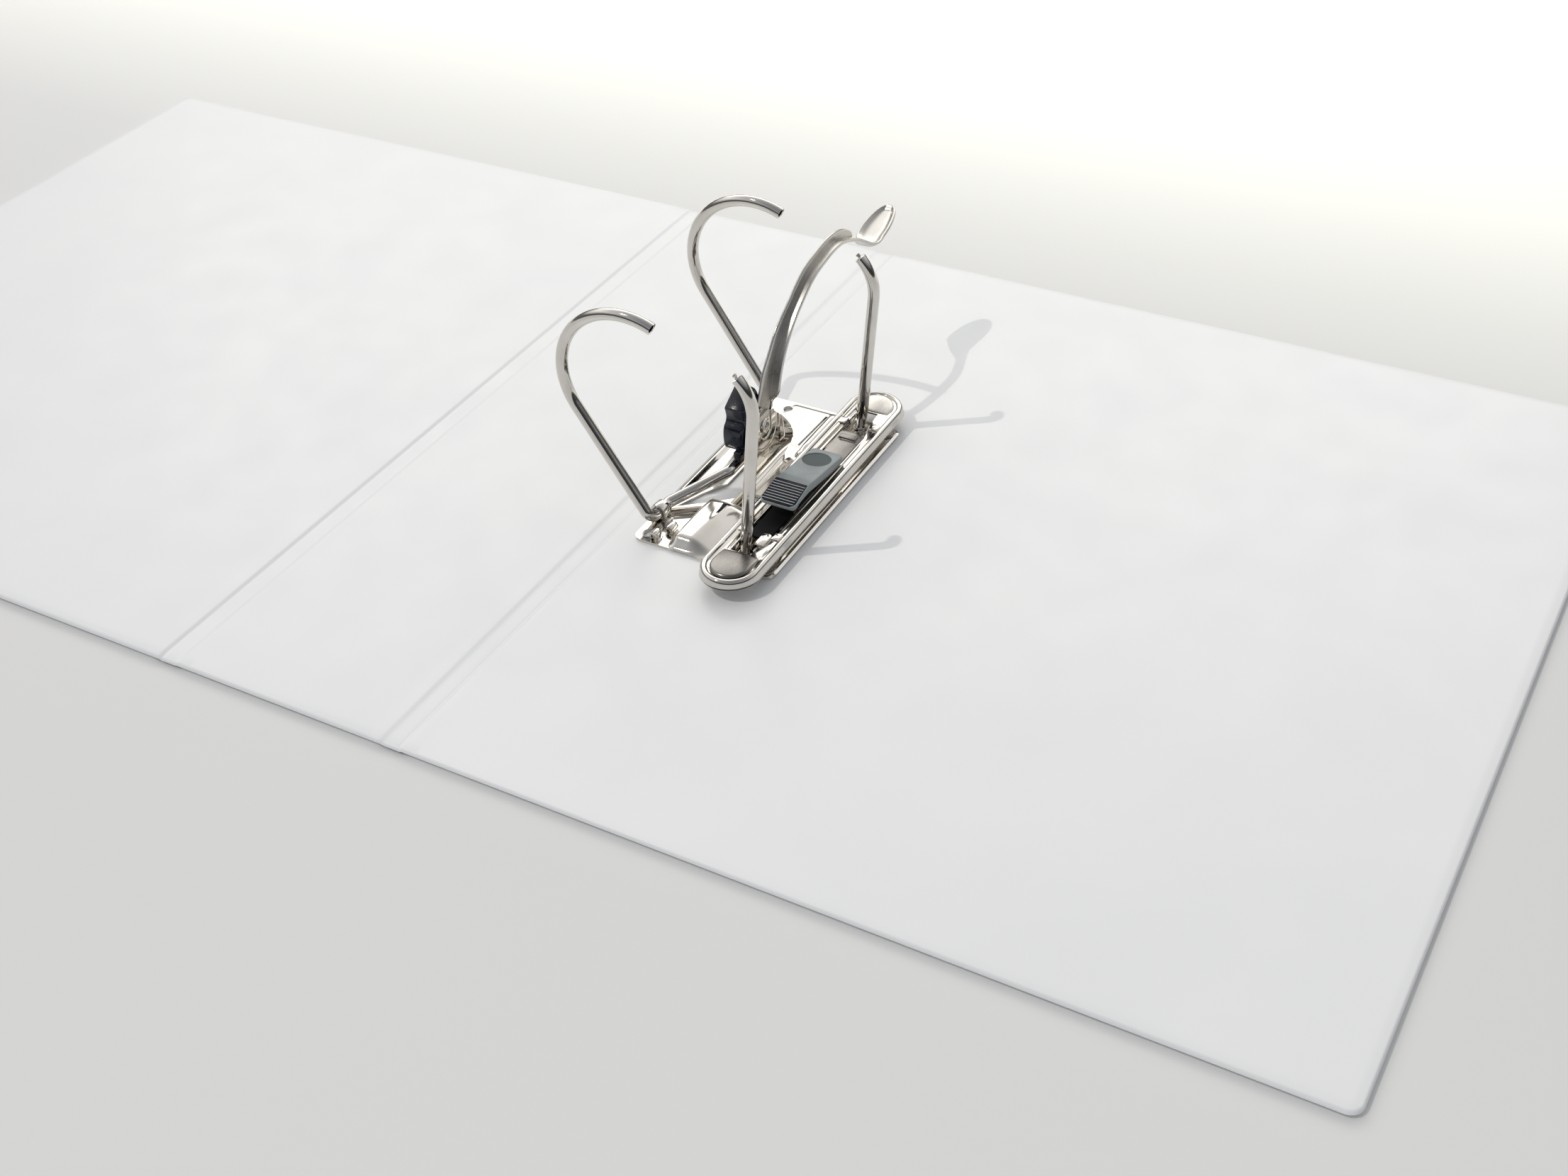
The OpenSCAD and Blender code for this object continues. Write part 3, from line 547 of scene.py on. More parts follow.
def bend_step(radius, first, last):
    """The step along a bend that turns clockwise from one direction to another."""
    a, b = math.radians(first), math.radians(last)
    return radius * Vector((math.sin(a) - math.sin(b), math.cos(b) - math.cos(a)))


COVER_HIGH, FREE_EDGE, PANEL_START, SPINE_EDGE = 318, 329, 48, 40

HALF_SPACING = 40
ROD_R = 2
POST_X, POST_STRAIGHT, POST_BEND_R, POST_TURN = 48.9, 54.5, 17, 50
POST_DIR = 90 - 6.9
TIP_DIR = POST_DIR + POST_TURN
post_bend_start = Vector((POST_X + POST_STRAIGHT / math.tan(math.radians(POST_DIR)), POST_STRAIGHT))
post_tip = post_bend_start + POST_BEND_R * (toward(POST_DIR + 90) - toward(TIP_DIR + 90))

PIVOT = Vector((13.2, 3.4))
ARCH_CLOSE, LEG_DIR, SHOULDER_R, SHOULDER_TURN = 23.5, 90 + 32.4, 25, 46
shoulder_dir = LEG_DIR - SHOULDER_TURN
end_dir = TIP_DIR - 180 + ARCH_CLOSE
closed_end = post_tip + 0.4 * toward(TIP_DIR) - PIVOT
open_turn = math.radians(ARCH_CLOSE)
arch_end = PIVOT + Vector((
    closed_end.x * math.cos(open_turn) - closed_end.y * math.sin(open_turn),
    closed_end.y * math.cos(open_turn) + closed_end.x * math.sin(open_turn),
))
shoulder_step = bend_step(SHOULDER_R, LEG_DIR, shoulder_dir)
crown_unit = bend_step(1, shoulder_dir, end_dir)
rest = arch_end - PIVOT - shoulder_step
leg = toward(LEG_DIR)
spread = leg.x * crown_unit.y - leg.y * crown_unit.x
leg_length = (rest.x * crown_unit.y - rest.y * crown_unit.x) / spread
crown_r = (leg.x * rest.y - leg.y * rest.x) / spread
shoulder_start = PIVOT + leg_length * leg
crown_start = shoulder_start + shoulder_step
shoulder_corner = shoulder_start + SHOULDER_R * math.tan(math.radians(SHOULDER_TURN / 2)) * leg
crown_reach = crown_r * math.tan(math.radians((shoulder_dir - end_dir) / 2))
crown_corner = crown_start + crown_reach * toward(shoulder_dir)
CRANK = PIVOT + Vector((13.6, 5.4))
CRANK_NEAR, CRANK_FAR, LOOP_END, WIRE_BEND_R = -12, 22, 29.5, 3.5

LEVER_X, LEVER_Y, LEVER_Z = 30, 3.4, 19.5
lever_points = [Vector(p) for p in ((7, 0), (11.2, 35.2), (49.2, 50.3), (79.3, 27))]
PAD_TILT, PAD_LENGTH, PAD_WIDTH, PAD_BACK = 15, 26.0, 11.0, 5


# Covers and hinges

CORNER_R, EDGE_R, EDGE_UNDERCUT = 4, 1.1, 1.05
EDGE_SWELL = ((0.7, 0.15), (1.2, 0.11), (0.7, 0.04))
PANEL_THICK = 2.3


def cover_panel(x0, x1, free_side):
    """A board wrapped in film: round free corners, rolled edges and a top that swells inside them."""
    panel = begin(
        bpy.ops.mesh.primitive_cube_add, size=1,
        location=((x0 + x1) / 2 * MM, 0, PANEL_THICK / 2 * MM),
        scale=((x1 - x0) * MM, COVER_HIGH * MM, PANEL_THICK * MM),
    )
    if free_side:
        pick(panel, "EDGE", lambda p, d: abs(d.z) > 0.9 and p.x * free_side > FREE_EDGE - 1, COVER)
        bpy.ops.mesh.bevel(offset=CORNER_R * MM, segments=8, affect="EDGES")
    pick(panel, "EDGE", lambda p, d: abs(d.z) < 0.1 and p.z < 0.01, COVER)
    bpy.ops.mesh.bevel(offset=EDGE_UNDERCUT * MM, segments=4, profile=0.25, affect="EDGES")
    pick(panel, "EDGE", lambda p, d: abs(d.z) < 0.1 and p.z > PANEL_THICK - 0.01, COVER)
    bpy.ops.mesh.bevel(offset=EDGE_R * MM, segments=7, affect="EDGES")
    pick(panel, "FACE", lambda p, n: n.z > 0.99 and p.z > PANEL_THICK - 0.01, COVER)
    for width, rise in EDGE_SWELL:
        bpy.ops.mesh.inset(thickness=width * MM, depth=rise * MM)
    return panel


def edge_drop(y):
    """How far the film falls away towards a panel's rolled near or far edge."""
    inside = COVER_HIGH / 2 - abs(y) - EDGE_R
    drop = sum(rise for width, rise in EDGE_SWELL)
    if inside < 0:
        return drop + EDGE_R - math.sqrt(max(0, EDGE_R ** 2 - inside ** 2))
    for width, rise in EDGE_SWELL:
        drop -= rise * min(1, inside / width)
        inside = max(0, inside - width)
    return drop


def hinge_strip(x, side, node, name):
    """A welded strip of film: it lies on one panel, eases down to a flat groove and climbs more steeply
    to the next."""
    across = [
        (-9, 2.603), (-6.4, 2.608), (-5.2, 2.608), (-4.7, 2.59), (-4.2, 2.5), (-3.7, 2.36), (-3.2, 2.25),
        (-2.7, 2.2), (-1.5, 2.19), (0.0, 2.19), (1.3, 2.18), (1.9, 2.14), (2.2, 2.06), (2.5, 2.08),
        (3.0, 2.28), (3.5, 2.5), (3.9, 2.59), (4.4, 2.608), (6.4, 2.608), (9, 2.603),
    ]
    roll_start = COVER_HIGH / 2 - EDGE_R
    ends = [155.3, 156.0, 156.6, 157.2, roll_start]
    ends += [roll_start + EDGE_R * math.sin(math.radians(a)) for a in (13, 26, 39, 52, 65, 78, 90)]
    along = [-y for y in reversed(ends)] + [15.5 * i for i in range(-9, 10)] + ends

    def lay(u, v):
        step, top = across[round(u * (len(across) - 1))]
        y = along[round(v * (len(along) - 1))]
        return x + side * step, y, top - edge_drop(y)

    strip = form_sheet(len(across) - 1, len(along) - 1, lay, COVER)
    bpy.ops.object.mode_set(mode="EDIT")
    outwards()
    pick(strip, "FACE", lambda p, n: n.z > 0, COVER)
    if not bmesh.from_edit_mesh(strip.data).faces[:][0].select:
        bpy.ops.mesh.select_all(action="SELECT")
        bpy.ops.mesh.flip_normals()
    modify(strip, "SOLIDIFY", thickness=0.55 * MM, offset=-1)
    hand_over(strip, name, film, None, (node,), 60)
    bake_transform(strip)


rear_panel = cover_panel(PANEL_START, FREE_EDGE, 1)
rivet_places = [(14.5, -44), (20.5, 39), (58.8, -44), (58.8, 40)]
for x, y in rivet_places:
    pocket = begin(
        bpy.ops.mesh.primitive_cylinder_add, vertices=48, radius=4.05 * MM, depth=2 * MM,
        location=spot(x, y, -2.98),
    )
    cut(rear_panel, pocket)
hand_over(
    rear_panel, "rear_panel", film, "rear_cover",
    ("rear_board", "rear_outer_film", "rear_lining"), 25,
)
hand_over(
    cover_panel(-SPINE_EDGE, SPINE_EDGE, 0), "spine_panel", film, "spine",
    ("spine_board", "spine_outer_film", "spine_lining"), 25,
)
hand_over(
    cover_panel(-FREE_EDGE, -PANEL_START, -1), "front_panel", film, "front_cover",
    ("front_board", "front_outer_film", "front_lining"), 25,
)
hinge_strip(HINGE_X, 1, "rear_hinge_film", "rear_hinge")
hinge_strip(-HINGE_X, -1, "front_hinge_film", "front_hinge")


# Wire arches and posts

def flat(point, y):
    """A point of an xz drawing, at a place along y."""
    return (point.x, y, point.y)


wire_route = [
    flat(arch_end, -HALF_SPACING), flat(crown_corner, -HALF_SPACING), flat(shoulder_corner, -HALF_SPACING),
    flat(PIVOT, -HALF_SPACING), flat(PIVOT, -LOOP_END), flat(CRANK, CRANK_NEAR),
    flat(CRANK, CRANK_FAR), flat(PIVOT, LOOP_END), flat(PIVOT, HALF_SPACING),
    flat(shoulder_corner, HALF_SPACING), flat(crown_corner, HALF_SPACING), flat(arch_end, HALF_SPACING),
]
wire_bends = [crown_r, SHOULDER_R] + [WIRE_BEND_R] * 6 + [SHOULDER_R, crown_r]
arch_wire = bent_rod(wire_route, wire_bends, ROD_R)
for side in (-1, 1):
    bored_end(arch_wire, flat(arch_end, side * HALF_SPACING), heading_of(end_dir), ROD_R, 1.35, 3)
outwards()
hand_over(arch_wire, "wire_arches", bright_nickel, "arches", ("arch_wire",), 40)


def post_at(z):
    """A point on a post's axis, in its xz drawing."""
    return Vector((POST_X + z / math.tan(math.radians(POST_DIR)), z))


def post(name, y, node):
    """A post: a staked foot with a collar, a taper, a long straight run and an inward bend cut square."""
    lean = heading_of(POST_DIR)
    foot_z, foot_r = 1.3, 1.5
    rod = begin(
        bpy.ops.mesh.primitive_circle_add, vertices=36, radius=foot_r * MM,
        location=spot(*flat(post_at(foot_z), y)), rotation=lean.to_track_quat("Z", "Y").to_euler(),
    )
    here, thick = foot_z, foot_r
    for z, wider in ((2.4, foot_r), (5.0, 1.74), (8.0, ROD_R)):
        step = post_at(z) - post_at(here)
        pull(step.x, 0, step.y)
        if wider != thick:
            bpy.ops.transform.resize(value=(wider / thick,) * 3, center_override=spot(*flat(post_at(z), y)))
        here, thick = z, wider
    step = post_at(POST_STRAIGHT) - post_at(here)
    pull(step.x, 0, step.y)
    bend_middle = post_bend_start + POST_BEND_R * toward(POST_DIR + 90)
    bpy.ops.mesh.spin(
        steps=14, angle=math.radians(-POST_TURN), center=spot(*flat(bend_middle, y)), axis=(0, -1, 0)
    )
    pick_ring(rod, flat(post_tip, y), heading_of(TIP_DIR), ROD_R)
    bpy.ops.mesh.edge_face_add()
    bpy.ops.mesh.inset(thickness=0.3 * MM, depth=0.25 * MM)
    bpy.ops.mesh.inset(thickness=0.9 * MM, depth=0.05 * MM)
    pick_ring(rod, flat(post_at(foot_z), y), lean, foot_r)
    bpy.ops.mesh.edge_face_add()
    outwards()
    collar = begin(
        bpy.ops.mesh.primitive_cylinder_add, vertices=40, radius=2.5 * MM, depth=0.8 * MM,
        location=spot(post_at(1).x, y, 1.4),
    )
    pick(collar, "EDGE", lambda p, d: p.z > 1.7 and abs(d.z) < 0.1)
    bpy.ops.mesh.bevel(offset=0.35 * MM, segments=3, affect="EDGES")
    stake = begin(
        bpy.ops.mesh.primitive_cylinder_add, vertices=24, radius=1.3 * MM, depth=1.6 * MM,
        location=spot(post_at(1).x, y, 0.5),
    )
    pick(stake, "EDGE", lambda p, d: p.z < 0 and abs(d.z) < 0.1)
    bpy.ops.mesh.bevel(offset=0.2 * MM, segments=2, affect="EDGES")
    join(rod, collar, stake)
    hand_over(rod, name, bright_nickel, "rear_cover", (node,), 40)


def post_pin(name, y, node):
    """The pin on a post's tip: a waisted stub with a hollow top."""
    heading = heading_of(TIP_DIR)
    centre = spot(*flat(post_tip, y))
    pin = begin(
        bpy.ops.mesh.primitive_circle_add, vertices=16, radius=0.62 * MM,
        location=centre, rotation=heading.to_track_quat("Z", "Y").to_euler(),
    )
    gone = 0
    for far, grow in ((0.25, 1.3), (0.5, 0.7), (0.9, 1.0), (1.25, 1.45), (1.6, 0.85)):
        bpy.ops.mesh.extrude_region_move(TRANSFORM_OT_translate={"value": (far - gone) * MM * heading})
        bpy.ops.transform.resize(value=(grow,) * 3, center_override=centre + far * MM * heading)
        gone = far
    bpy.ops.mesh.edge_face_add()
    bpy.ops.mesh.inset(thickness=0.15 * MM, depth=0)
    bpy.ops.mesh.extrude_region_move(TRANSFORM_OT_translate={"value": -0.4 * MM * heading})
    outwards()
    hand_over(pin, name, satin_nickel, "rear_cover", (node,), 40)


post("near_post_rod", -HALF_SPACING, "near_post")
post("far_post_rod", HALF_SPACING, "far_post")
post_pin("near_post_stub", -HALF_SPACING, "near_post_pin")
post_pin("far_post_stub", HALF_SPACING, "far_post_pin")


# Base plate, bracket and rivets

def smooth(value, first, last):
    """Eases from 0 at the first bound to 1 at the last, upwards or downwards."""
    t = min(1, max(0, (value - first) / (last - first)))
    return t * t * (3 - 2 * t)


def hump(value, half):
    """A round hump, 1 in the middle and 0 beyond half a width."""
    return (0.5 + 0.5 * math.cos(math.pi * min(1, abs(value) / half))) if abs(value) < half else 0


def plate_height(x, y):
    """The stamped relief of the base plate: a domed pan, a bead on the left, a rib and a rolled right rim."""
    pan = smooth(x, 23.4, 26.2) * smooth(x, 41, 30.5) * smooth(y, -48.4, -43.6) * smooth(y, -18.6, -22.8)
    crown = 1.06 - 0.1 * ((y + 33) / 11) ** 2
    bead = hump(x - 12.3, 1.7) * smooth(y, -27, -24) * smooth(y, 24, 20)
    rib = hump(x - 37.4, 1.4) * smooth(y, 14, 17) * smooth(y, 43, 40)
    swell = smooth(x, 20, 22.5) * smooth(x, 43, 41) * smooth(y, 18, 22) * smooth(y, 43.6, 41)
    rim = hump(x - 62.4, 0.6)
    return 3.5 * pan * crown + 1.3 * bead + 0.8 * rib + 0.35 * swell + 0.6 * rim


PLATE_LEFT, PLATE_WIDE, PLATE_NEAR, PLATE_FAR, PLATE_CORNER_R = 10.5, 52.3, -48, 44, 3


def plate_blank(u, v):
    """The base plate's sheet, drawn in at its round corners and stamped to its relief."""
    y = PLATE_NEAR + (PLATE_FAR - PLATE_NEAR) * v
    nearest = min(y - PLATE_NEAR, PLATE_FAR - y, PLATE_CORNER_R)
    tuck = PLATE_CORNER_R - math.sqrt(max(0, PLATE_CORNER_R ** 2 - (PLATE_CORNER_R - nearest) ** 2))
    x = PLATE_LEFT + tuck + (PLATE_WIDE - 2.2 * tuck) * u
    return x, y, 0.5 + plate_height(x, y)


def prism(points, z0, z1):
    """An upright prism over a flat outline, as a cutting tool."""
    tool = plate_outline(points, lambda x, y: (x, y, z0))
    pull(0, 0, z1 - z0)
    outwards()
    return tool


def round_outline(x, y, radius, count=32):
    """A circle as an outline."""
    turns = [2 * math.pi * i / count for i in range(count)]
    return [(x + radius * math.cos(turn), y + radius * math.sin(turn)) for turn in turns]


def curl(x, z, y0, y1, radius, start, turn, leg_to, thick):
    """A tab of sheet curled round an axis along y, with its straight leg running down to the plate."""
    first = (x + radius * math.cos(math.radians(start)), z + radius * math.sin(math.radians(start)))
    strip = begin(bpy.ops.mesh.primitive_plane_add, size=1)
    bpy.ops.object.mode_set(mode="OBJECT")
    corners = [(x_at, y_at, z_at) for x_at, z_at in (leg_to, first) for y_at in (y0, y1)]
    for point, corner in zip(strip.data.vertices, corners):
        point.co = spot(*corner)
    bpy.ops.object.mode_set(mode="EDIT")
    pick(strip, "EDGE", lambda p, d: math.hypot(p.x - first[0], p.z - first[1]) < 0.01 and abs(d.y) > 0.9)
    bpy.ops.mesh.spin(
        steps=max(6, round(abs(turn) / 12)), angle=-math.radians(turn), center=spot(x, y0, z), axis=(0, -1, 0)
    )
    bpy.ops.mesh.select_all(action="SELECT")
    bpy.ops.mesh.remove_doubles(threshold=0.01 * MM)
    bpy.ops.mesh.normals_make_consistent(inside=False)
    modify(strip, "SOLIDIFY", thickness=thick * MM, offset=0)
    soften(strip, 0.18, 2, 50)
    return strip


base_plate = form_sheet(104, 160, plate_blank)
modify(base_plate, "SOLIDIFY", thickness=1 * MM, offset=0)
near_run = Vector((CRANK.x - PIVOT.x, CRANK_NEAR + LOOP_END))
far_run = Vector((CRANK.x - PIVOT.x, CRANK_FAR - LOOP_END))
near_side = 3 * Vector((-near_run.y, near_run.x)).normalized()
far_side = 3 * Vector((-far_run.y, far_run.x)).normalized()
near_from, far_from = Vector((PIVOT.x, -LOOP_END)), Vector((PIVOT.x, LOOP_END))
crank_window = [
    near_from + 0.12 * near_run, near_from + 0.6 * near_run - near_side, Vector((30.6, -15)),
    Vector((30.6, 25)), far_from + 0.6 * far_run + far_side, far_from + 0.12 * far_run,
    far_from + 0.6 * far_run - far_side, Vector((CRANK.x - 3, 19)), Vector((CRANK.x - 3, -9)),
    near_from + 0.6 * near_run + near_side,
]
cut(base_plate, prism([tuple(p) for p in crank_window], -3, 8))
cut(base_plate, prism([(34.3, 20.6), (35.3, 20.6), (35.9, 40.4), (34.9, 40.4)], -3, 8))
for x, y in rivet_places:
    cut(base_plate, prism(round_outline(x, y, 1.75), -3, 8))
for side in (-1, 1):
    cut(base_plate, prism(round_outline(post_at(1).x, side * HALF_SPACING, 1.35), -3, 8))
loops = [
    curl(PIVOT.x, PIVOT.y, y - 2, y + 2, 2.56, -62, 322, (PIVOT.x + 4.2, 0.55), 0.95) for y in (-34.1, 34.1)
]
tabs = [
    curl(17.8, 2.3, -46.4, -43.4, 1.15, -60, 290, (20.2, 0.55), 0.7),
    curl(20.6, 2.2, -41.4, -37.6, 1.15, -120, -280, (18.4, 0.55), 0.7),
]
join(base_plate, *loops, *tabs)
hand_over(base_plate, "stamped_plate", bright_nickel, "rear_cover", ("base_plate",), 40)


EAR_R, EAR_TOP, FOOT_TOP = 6.7, 26.2, 1.75
EAR_BEND_R, FOOT_RUN, SHEET_RUN = 4.4, 2.2, 30.4
BEND_END = FOOT_RUN + 6.91
EAR_FAR = [
    (FOOT_TOP, 8.0), (2.6, 11.5), (3.4, 15.0), (4.4, 17.6), (6, 18.9), (8, 19.3), (11, 18.6), (13.5, 17.2),
    (16, 15.3), (18, 13.6), (20.4, 11.2), (22.5, 8.8), (24.7, 5.8), (25.7, 4.4), (EAR_TOP, LEVER_Y),
]


def ear_edges(z):
    """The near and far edges of the bracket's sheet at a height: a round top, a bulging far flank and
    a short foot."""
    if z > LEVER_Z:
        near = LEVER_Y - math.sqrt(max(0, EAR_R ** 2 - (z - LEVER_Z) ** 2))
    else:
        near = LEVER_Y - EAR_R - 8.8 * (1 - (z - 1) / (LEVER_Z - 1)) ** 0.8
    for (z0, y0), (z1, y1) in zip(EAR_FAR, EAR_FAR[1:]):
        if z <= z1:
            return near, y0 + (y1 - y0) * (z - z0) / (z1 - z0)
    return near, EAR_FAR[-1][1]


def bracket_blank(u, v):
    """The bracket's sheet from its foot, round its bend and up to its round top, with a raised U round the
    rivet and a rib beside it."""
    run = SHEET_RUN * v
    bend_x, bend_z = 36.4, FOOT_TOP + EAR_BEND_R
    if run < FOOT_RUN:
        x, z = bend_x + FOOT_RUN - run, FOOT_TOP
    elif run < BEND_END:
        a = (run - FOOT_RUN) / EAR_BEND_R
        x, z = bend_x - EAR_BEND_R * math.sin(a), bend_z - EAR_BEND_R * math.cos(a)
    else:
        x = bend_x - EAR_BEND_R
        z = bend_z + (run - BEND_END) * (EAR_TOP - bend_z) / (SHEET_RUN - BEND_END)
    near, far = ear_edges(z)
    y = near + (far - near) * u
    around = math.hypot(y - LEVER_Y, z - 18) if z < 18 else abs(y - LEVER_Y)
    band = smooth(around, 3.3, 3.8) * (1 - smooth(around, 6.9, 7.5)) * smooth(z, 9, 10)
    rib = smooth(y, 11.6, 12.2) * (1 - smooth(y, 14.2, 14.9)) * smooth(z, 8, 9)
    x += 0.25 * band + 0.2 * rib + 0.012 * max(0, y - 8) ** 2 * (1 - smooth(z, 4, 22))
    return x, y, z


bracket = form_sheet(96, 110, bracket_blank)
bpy.ops.object.mode_set(mode="EDIT")
bpy.ops.mesh.select_all(action="SELECT")
bpy.ops.mesh.remove_doubles(threshold=0.02 * MM)
bpy.ops.mesh.normals_make_consistent(inside=False)
modify(bracket, "SOLIDIFY", thickness=1.2 * MM, offset=0)
hand_over(bracket, "bracket_ear", bright_nickel, "rear_cover", ("lever_bracket",), 40)


def turned_piece(rings, place, heading, sides=40):
    """A round piece built ring by ring along an axis; each ring is a height and a radius."""
    heading = Vector(heading)
    height, size = rings[0]
    centre = spot(*place)
    made = begin(
        bpy.ops.mesh.primitive_circle_add, vertices=sides, radius=size * MM, fill_type="NGON",
        location=centre + height * MM * heading, rotation=heading.to_track_quat("Z", "Y").to_euler(),
    )
    for far, grown in rings[1:]:
        bpy.ops.mesh.extrude_region_move(TRANSFORM_OT_translate={"value": (far - height) * MM * heading})
        bpy.ops.transform.resize(value=(grown / size,) * 3, center_override=centre + far * MM * heading)
        height, size = far, grown
    outwards()
    return made


lever_rivet = turned_piece(
    [
        (-4.1, 2.6), (-4.0, 3.1), (-3.1, 3.2), (-3.0, 2.0), (0.65, 2.0), (0.7, 2.7), (0.95, 2.8),
        (1.15, 2.65), (1.3, 2.2), (1.32, 1.7), (1.2, 1.3), (0.9, 1.1), (-0.4, 1.0),
    ],
    (31.9, LEVER_Y, LEVER_Z), (1, 0, 0),
)
hand_over(lever_rivet, "pivot_rivet", bright_nickel, "rear_cover", ("lever_rivet",), 30)

shank_rings = [(-2.58, 3.7), (-2.5, 3.95), (-2.05, 3.95), (-2.0, 1.7)]
eyelet_rings = shank_rings + [
    (0.98, 1.7), (1.0, 2.15), (1.07, 2.25), (1.14, 2.2), (1.17, 2.05), (1.12, 1.9), (0.9, 1.75),
    (0.5, 1.66), (0.2, 1.62), (-1.9, 1.6),
]
cap_rings = shank_rings + [(1.0, 1.7), (1.02, 3.1), (1.15, 3.3), (1.35, 3.25), (1.5, 2.9), (1.58, 1.8)]
for count, (x, y) in enumerate(rivet_places[:2]):
    core = begin(
        bpy.ops.mesh.primitive_cylinder_add, vertices=32, radius=1.58 * MM, depth=0.8 * MM,
        location=spot(x, y, -0.5),
    )
    pick(core, "FACE", lambda p, n: n.z > 0.9)
    bpy.ops.mesh.inset(thickness=0.4 * MM, depth=-0.12 * MM)
    hand_over(core, f"eyelet_core_{count + 1}", greyboard, "rear_cover", (), 40)
for count, (x, y) in enumerate(rivet_places):
    stake = turned_piece(eyelet_rings if count < 2 else cap_rings, (x, y, 0), (0, 0, 1))
    name = f"base_rivet_{count + 1}"
    hand_over(stake, name, satin_nickel, "rear_cover", ("base_rivets",), 30)


# Lever and cam block

def lever_at(t):
    """A point on the lever's curve, in its yz drawing."""
    a, b, c, d = lever_points
    return (1 - t) ** 3 * a + 3 * t * (1 - t) ** 2 * b + 3 * t * t * (1 - t) * c + t ** 3 * d


def between(table, value):
    """Reads a table of pairs at a value in between, with easing."""
    for (a, p), (b, q) in zip(table, table[1:]):
        if value <= b:
            return p + (q - p) * smooth(value, a, b)
    return table[-1][1]


LEVER_LIFT = [(0.4, 0), (0.6, 1.5), (0.76, 3.0), (0.86, 2.3), (1.0, 0)]
WEB_TALL = [(-1, 5.5), (-0.4, 12.5), (0, 9.8), (0.12, 7.8), (0.24, 5.6), (0.4, 3.6), (0.6, 3.5), (0.8, 3.6)]

lever_back = (lever_points[0] - lever_points[1]).normalized()
lever_path = [lever_points[0] + step * lever_back for step in (6.6, 5.6, 4.2, 2.8, 1.4)]
lever_stage = [-1.0, -0.85, -0.64, -0.42, -0.21]
for i in range(65):
    stage = i / 64
    ahead = lever_at(stage + 0.001) - lever_at(stage - 0.001)
    rise = Vector((-ahead.y, ahead.x)).normalized()
    lift = between(LEVER_LIFT, stage) if stage > LEVER_LIFT[0][0] else 0
    lever_path.append(lever_at(stage) + lift * rise)
    lever_stage.append(stage)
for i in range(1, 19):
    along_pad = math.sin(i / 18 * math.pi / 2)
    lever_path.append(lever_points[3] + (PAD_LENGTH - PAD_BACK) * along_pad * toward(PAD_TILT))
    lever_stage.append(1 + along_pad)
for turn in range(5):
    before = [p.copy() for p in lever_path]
    for i in range(62, 78):
        lever_path[i] = 0.25 * before[i - 1] + 0.5 * before[i] + 0.25 * before[i + 1]


def pad_half(stage):
    """Half the pad's width at a stage past the neck."""
    gone = (stage - 1) * (PAD_LENGTH - PAD_BACK) - (PAD_LENGTH / 2 - PAD_BACK)
    return PAD_WIDTH / 2 * math.sqrt(max(0, 1 - (gone / (PAD_LENGTH / 2)) ** 2))


def lever_blank(u, v):
    """The lever's sheet: a tall web beside a floor strip, which widens past the neck into a rimmed pad."""
    row = round(v * (len(lever_path) - 1))
    column = round(u * 9)
    stage = lever_stage[row]
    here = lever_path[row]
    step = lever_path[min(row + 1, len(lever_path) - 1)] - lever_path[max(row - 1, 0)]
    up = Vector((-step.y, step.x)).normalized()
    tall = between(WEB_TALL, stage)
    if stage >= 0.8:
        tall *= math.sqrt(max(0, 1 - (max(0, stage - 0.81) / 0.075) ** 2))
    floor = 3.3 * smooth(stage, 0.03, 0.08)
    strip = [
        (0, tall), (0, 0.66 * tall), (0, 0.32 * tall), (0, min(1.0, 0.16 * tall)),
        (0.04, 0.34 * min(1, floor)), (0.04 + min(0.34, 0.1 * floor), 0.05),
        (0.04 + 0.26 * floor, 0), (0.1 + 0.6 * floor, 0),
        (0.1 + 0.94 * floor, 0.01), (0.1 + floor, 0.06),
    ]
    wide = max(0.02, pad_half(max(stage, 1.0)))
    rim = 1.15
    lip = min(2.3, 0.45 * wide)
    side = [(0, 0.7), (0.2, 1), (0.6, 0.45), (1, 0.06)]
    pad = [(-wide + a * lip, b * rim) for a, b in side] + [(-0.3 * wide, 0), (0.3 * wide, 0)]
    pad += [(wide - a * lip, b * rim) for a, b in reversed(side)]
    if stage > 1.9:
        lift = smooth(stage, 1.9, 2.0) * rim
        pad = [(a, max(b, lift * 0.9)) for a, b in pad]
    change = smooth(stage, 0.86, 1.04)
    centre = LEVER_X + 0.9 - 1.2 * smooth(stage, 0.95, 1.3)
    x = (1 - change) * (LEVER_X + strip[column][0]) + change * (centre + pad[column][0])
    high = (1 - change) * strip[column][1] + change * pad[column][1]
    roll = -0.1 * change * (x - centre)
    point = here + (high - 0.55 - roll * 0.9) * up
    return x, LEVER_Y + point.x, LEVER_Z + point.y


lever = form_sheet(9, len(lever_path) - 1, lever_blank)
bpy.ops.object.mode_set(mode="EDIT")
outwards()
modify(lever, "SOLIDIFY", thickness=1.1 * MM, offset=0)
modify(lever, "SUBSURF", levels=2, render_levels=2)
hand_over(lever, "lever_arm", satin_nickel, "lever", ("lever",), 60)


def eased(points, steps):
    """A smooth curve through points, ends included."""
    made = []
    full = [points[0]] + points + [points[-1]]
    for p0, p1, p2, p3 in zip(full, full[1:], full[2:], full[3:]):
        for i in range(steps):
            t = i / steps
            made.append(tuple(
                b + 0.5 * t * ((c - a) + (2 * a - 5 * b + 4 * c - d) * t + (3 * b - a - 3 * c + d) * t ** 2)
                for a, b, c, d in zip(p0, p1, p2, p3)
            ))
    return made + [points[-1]]


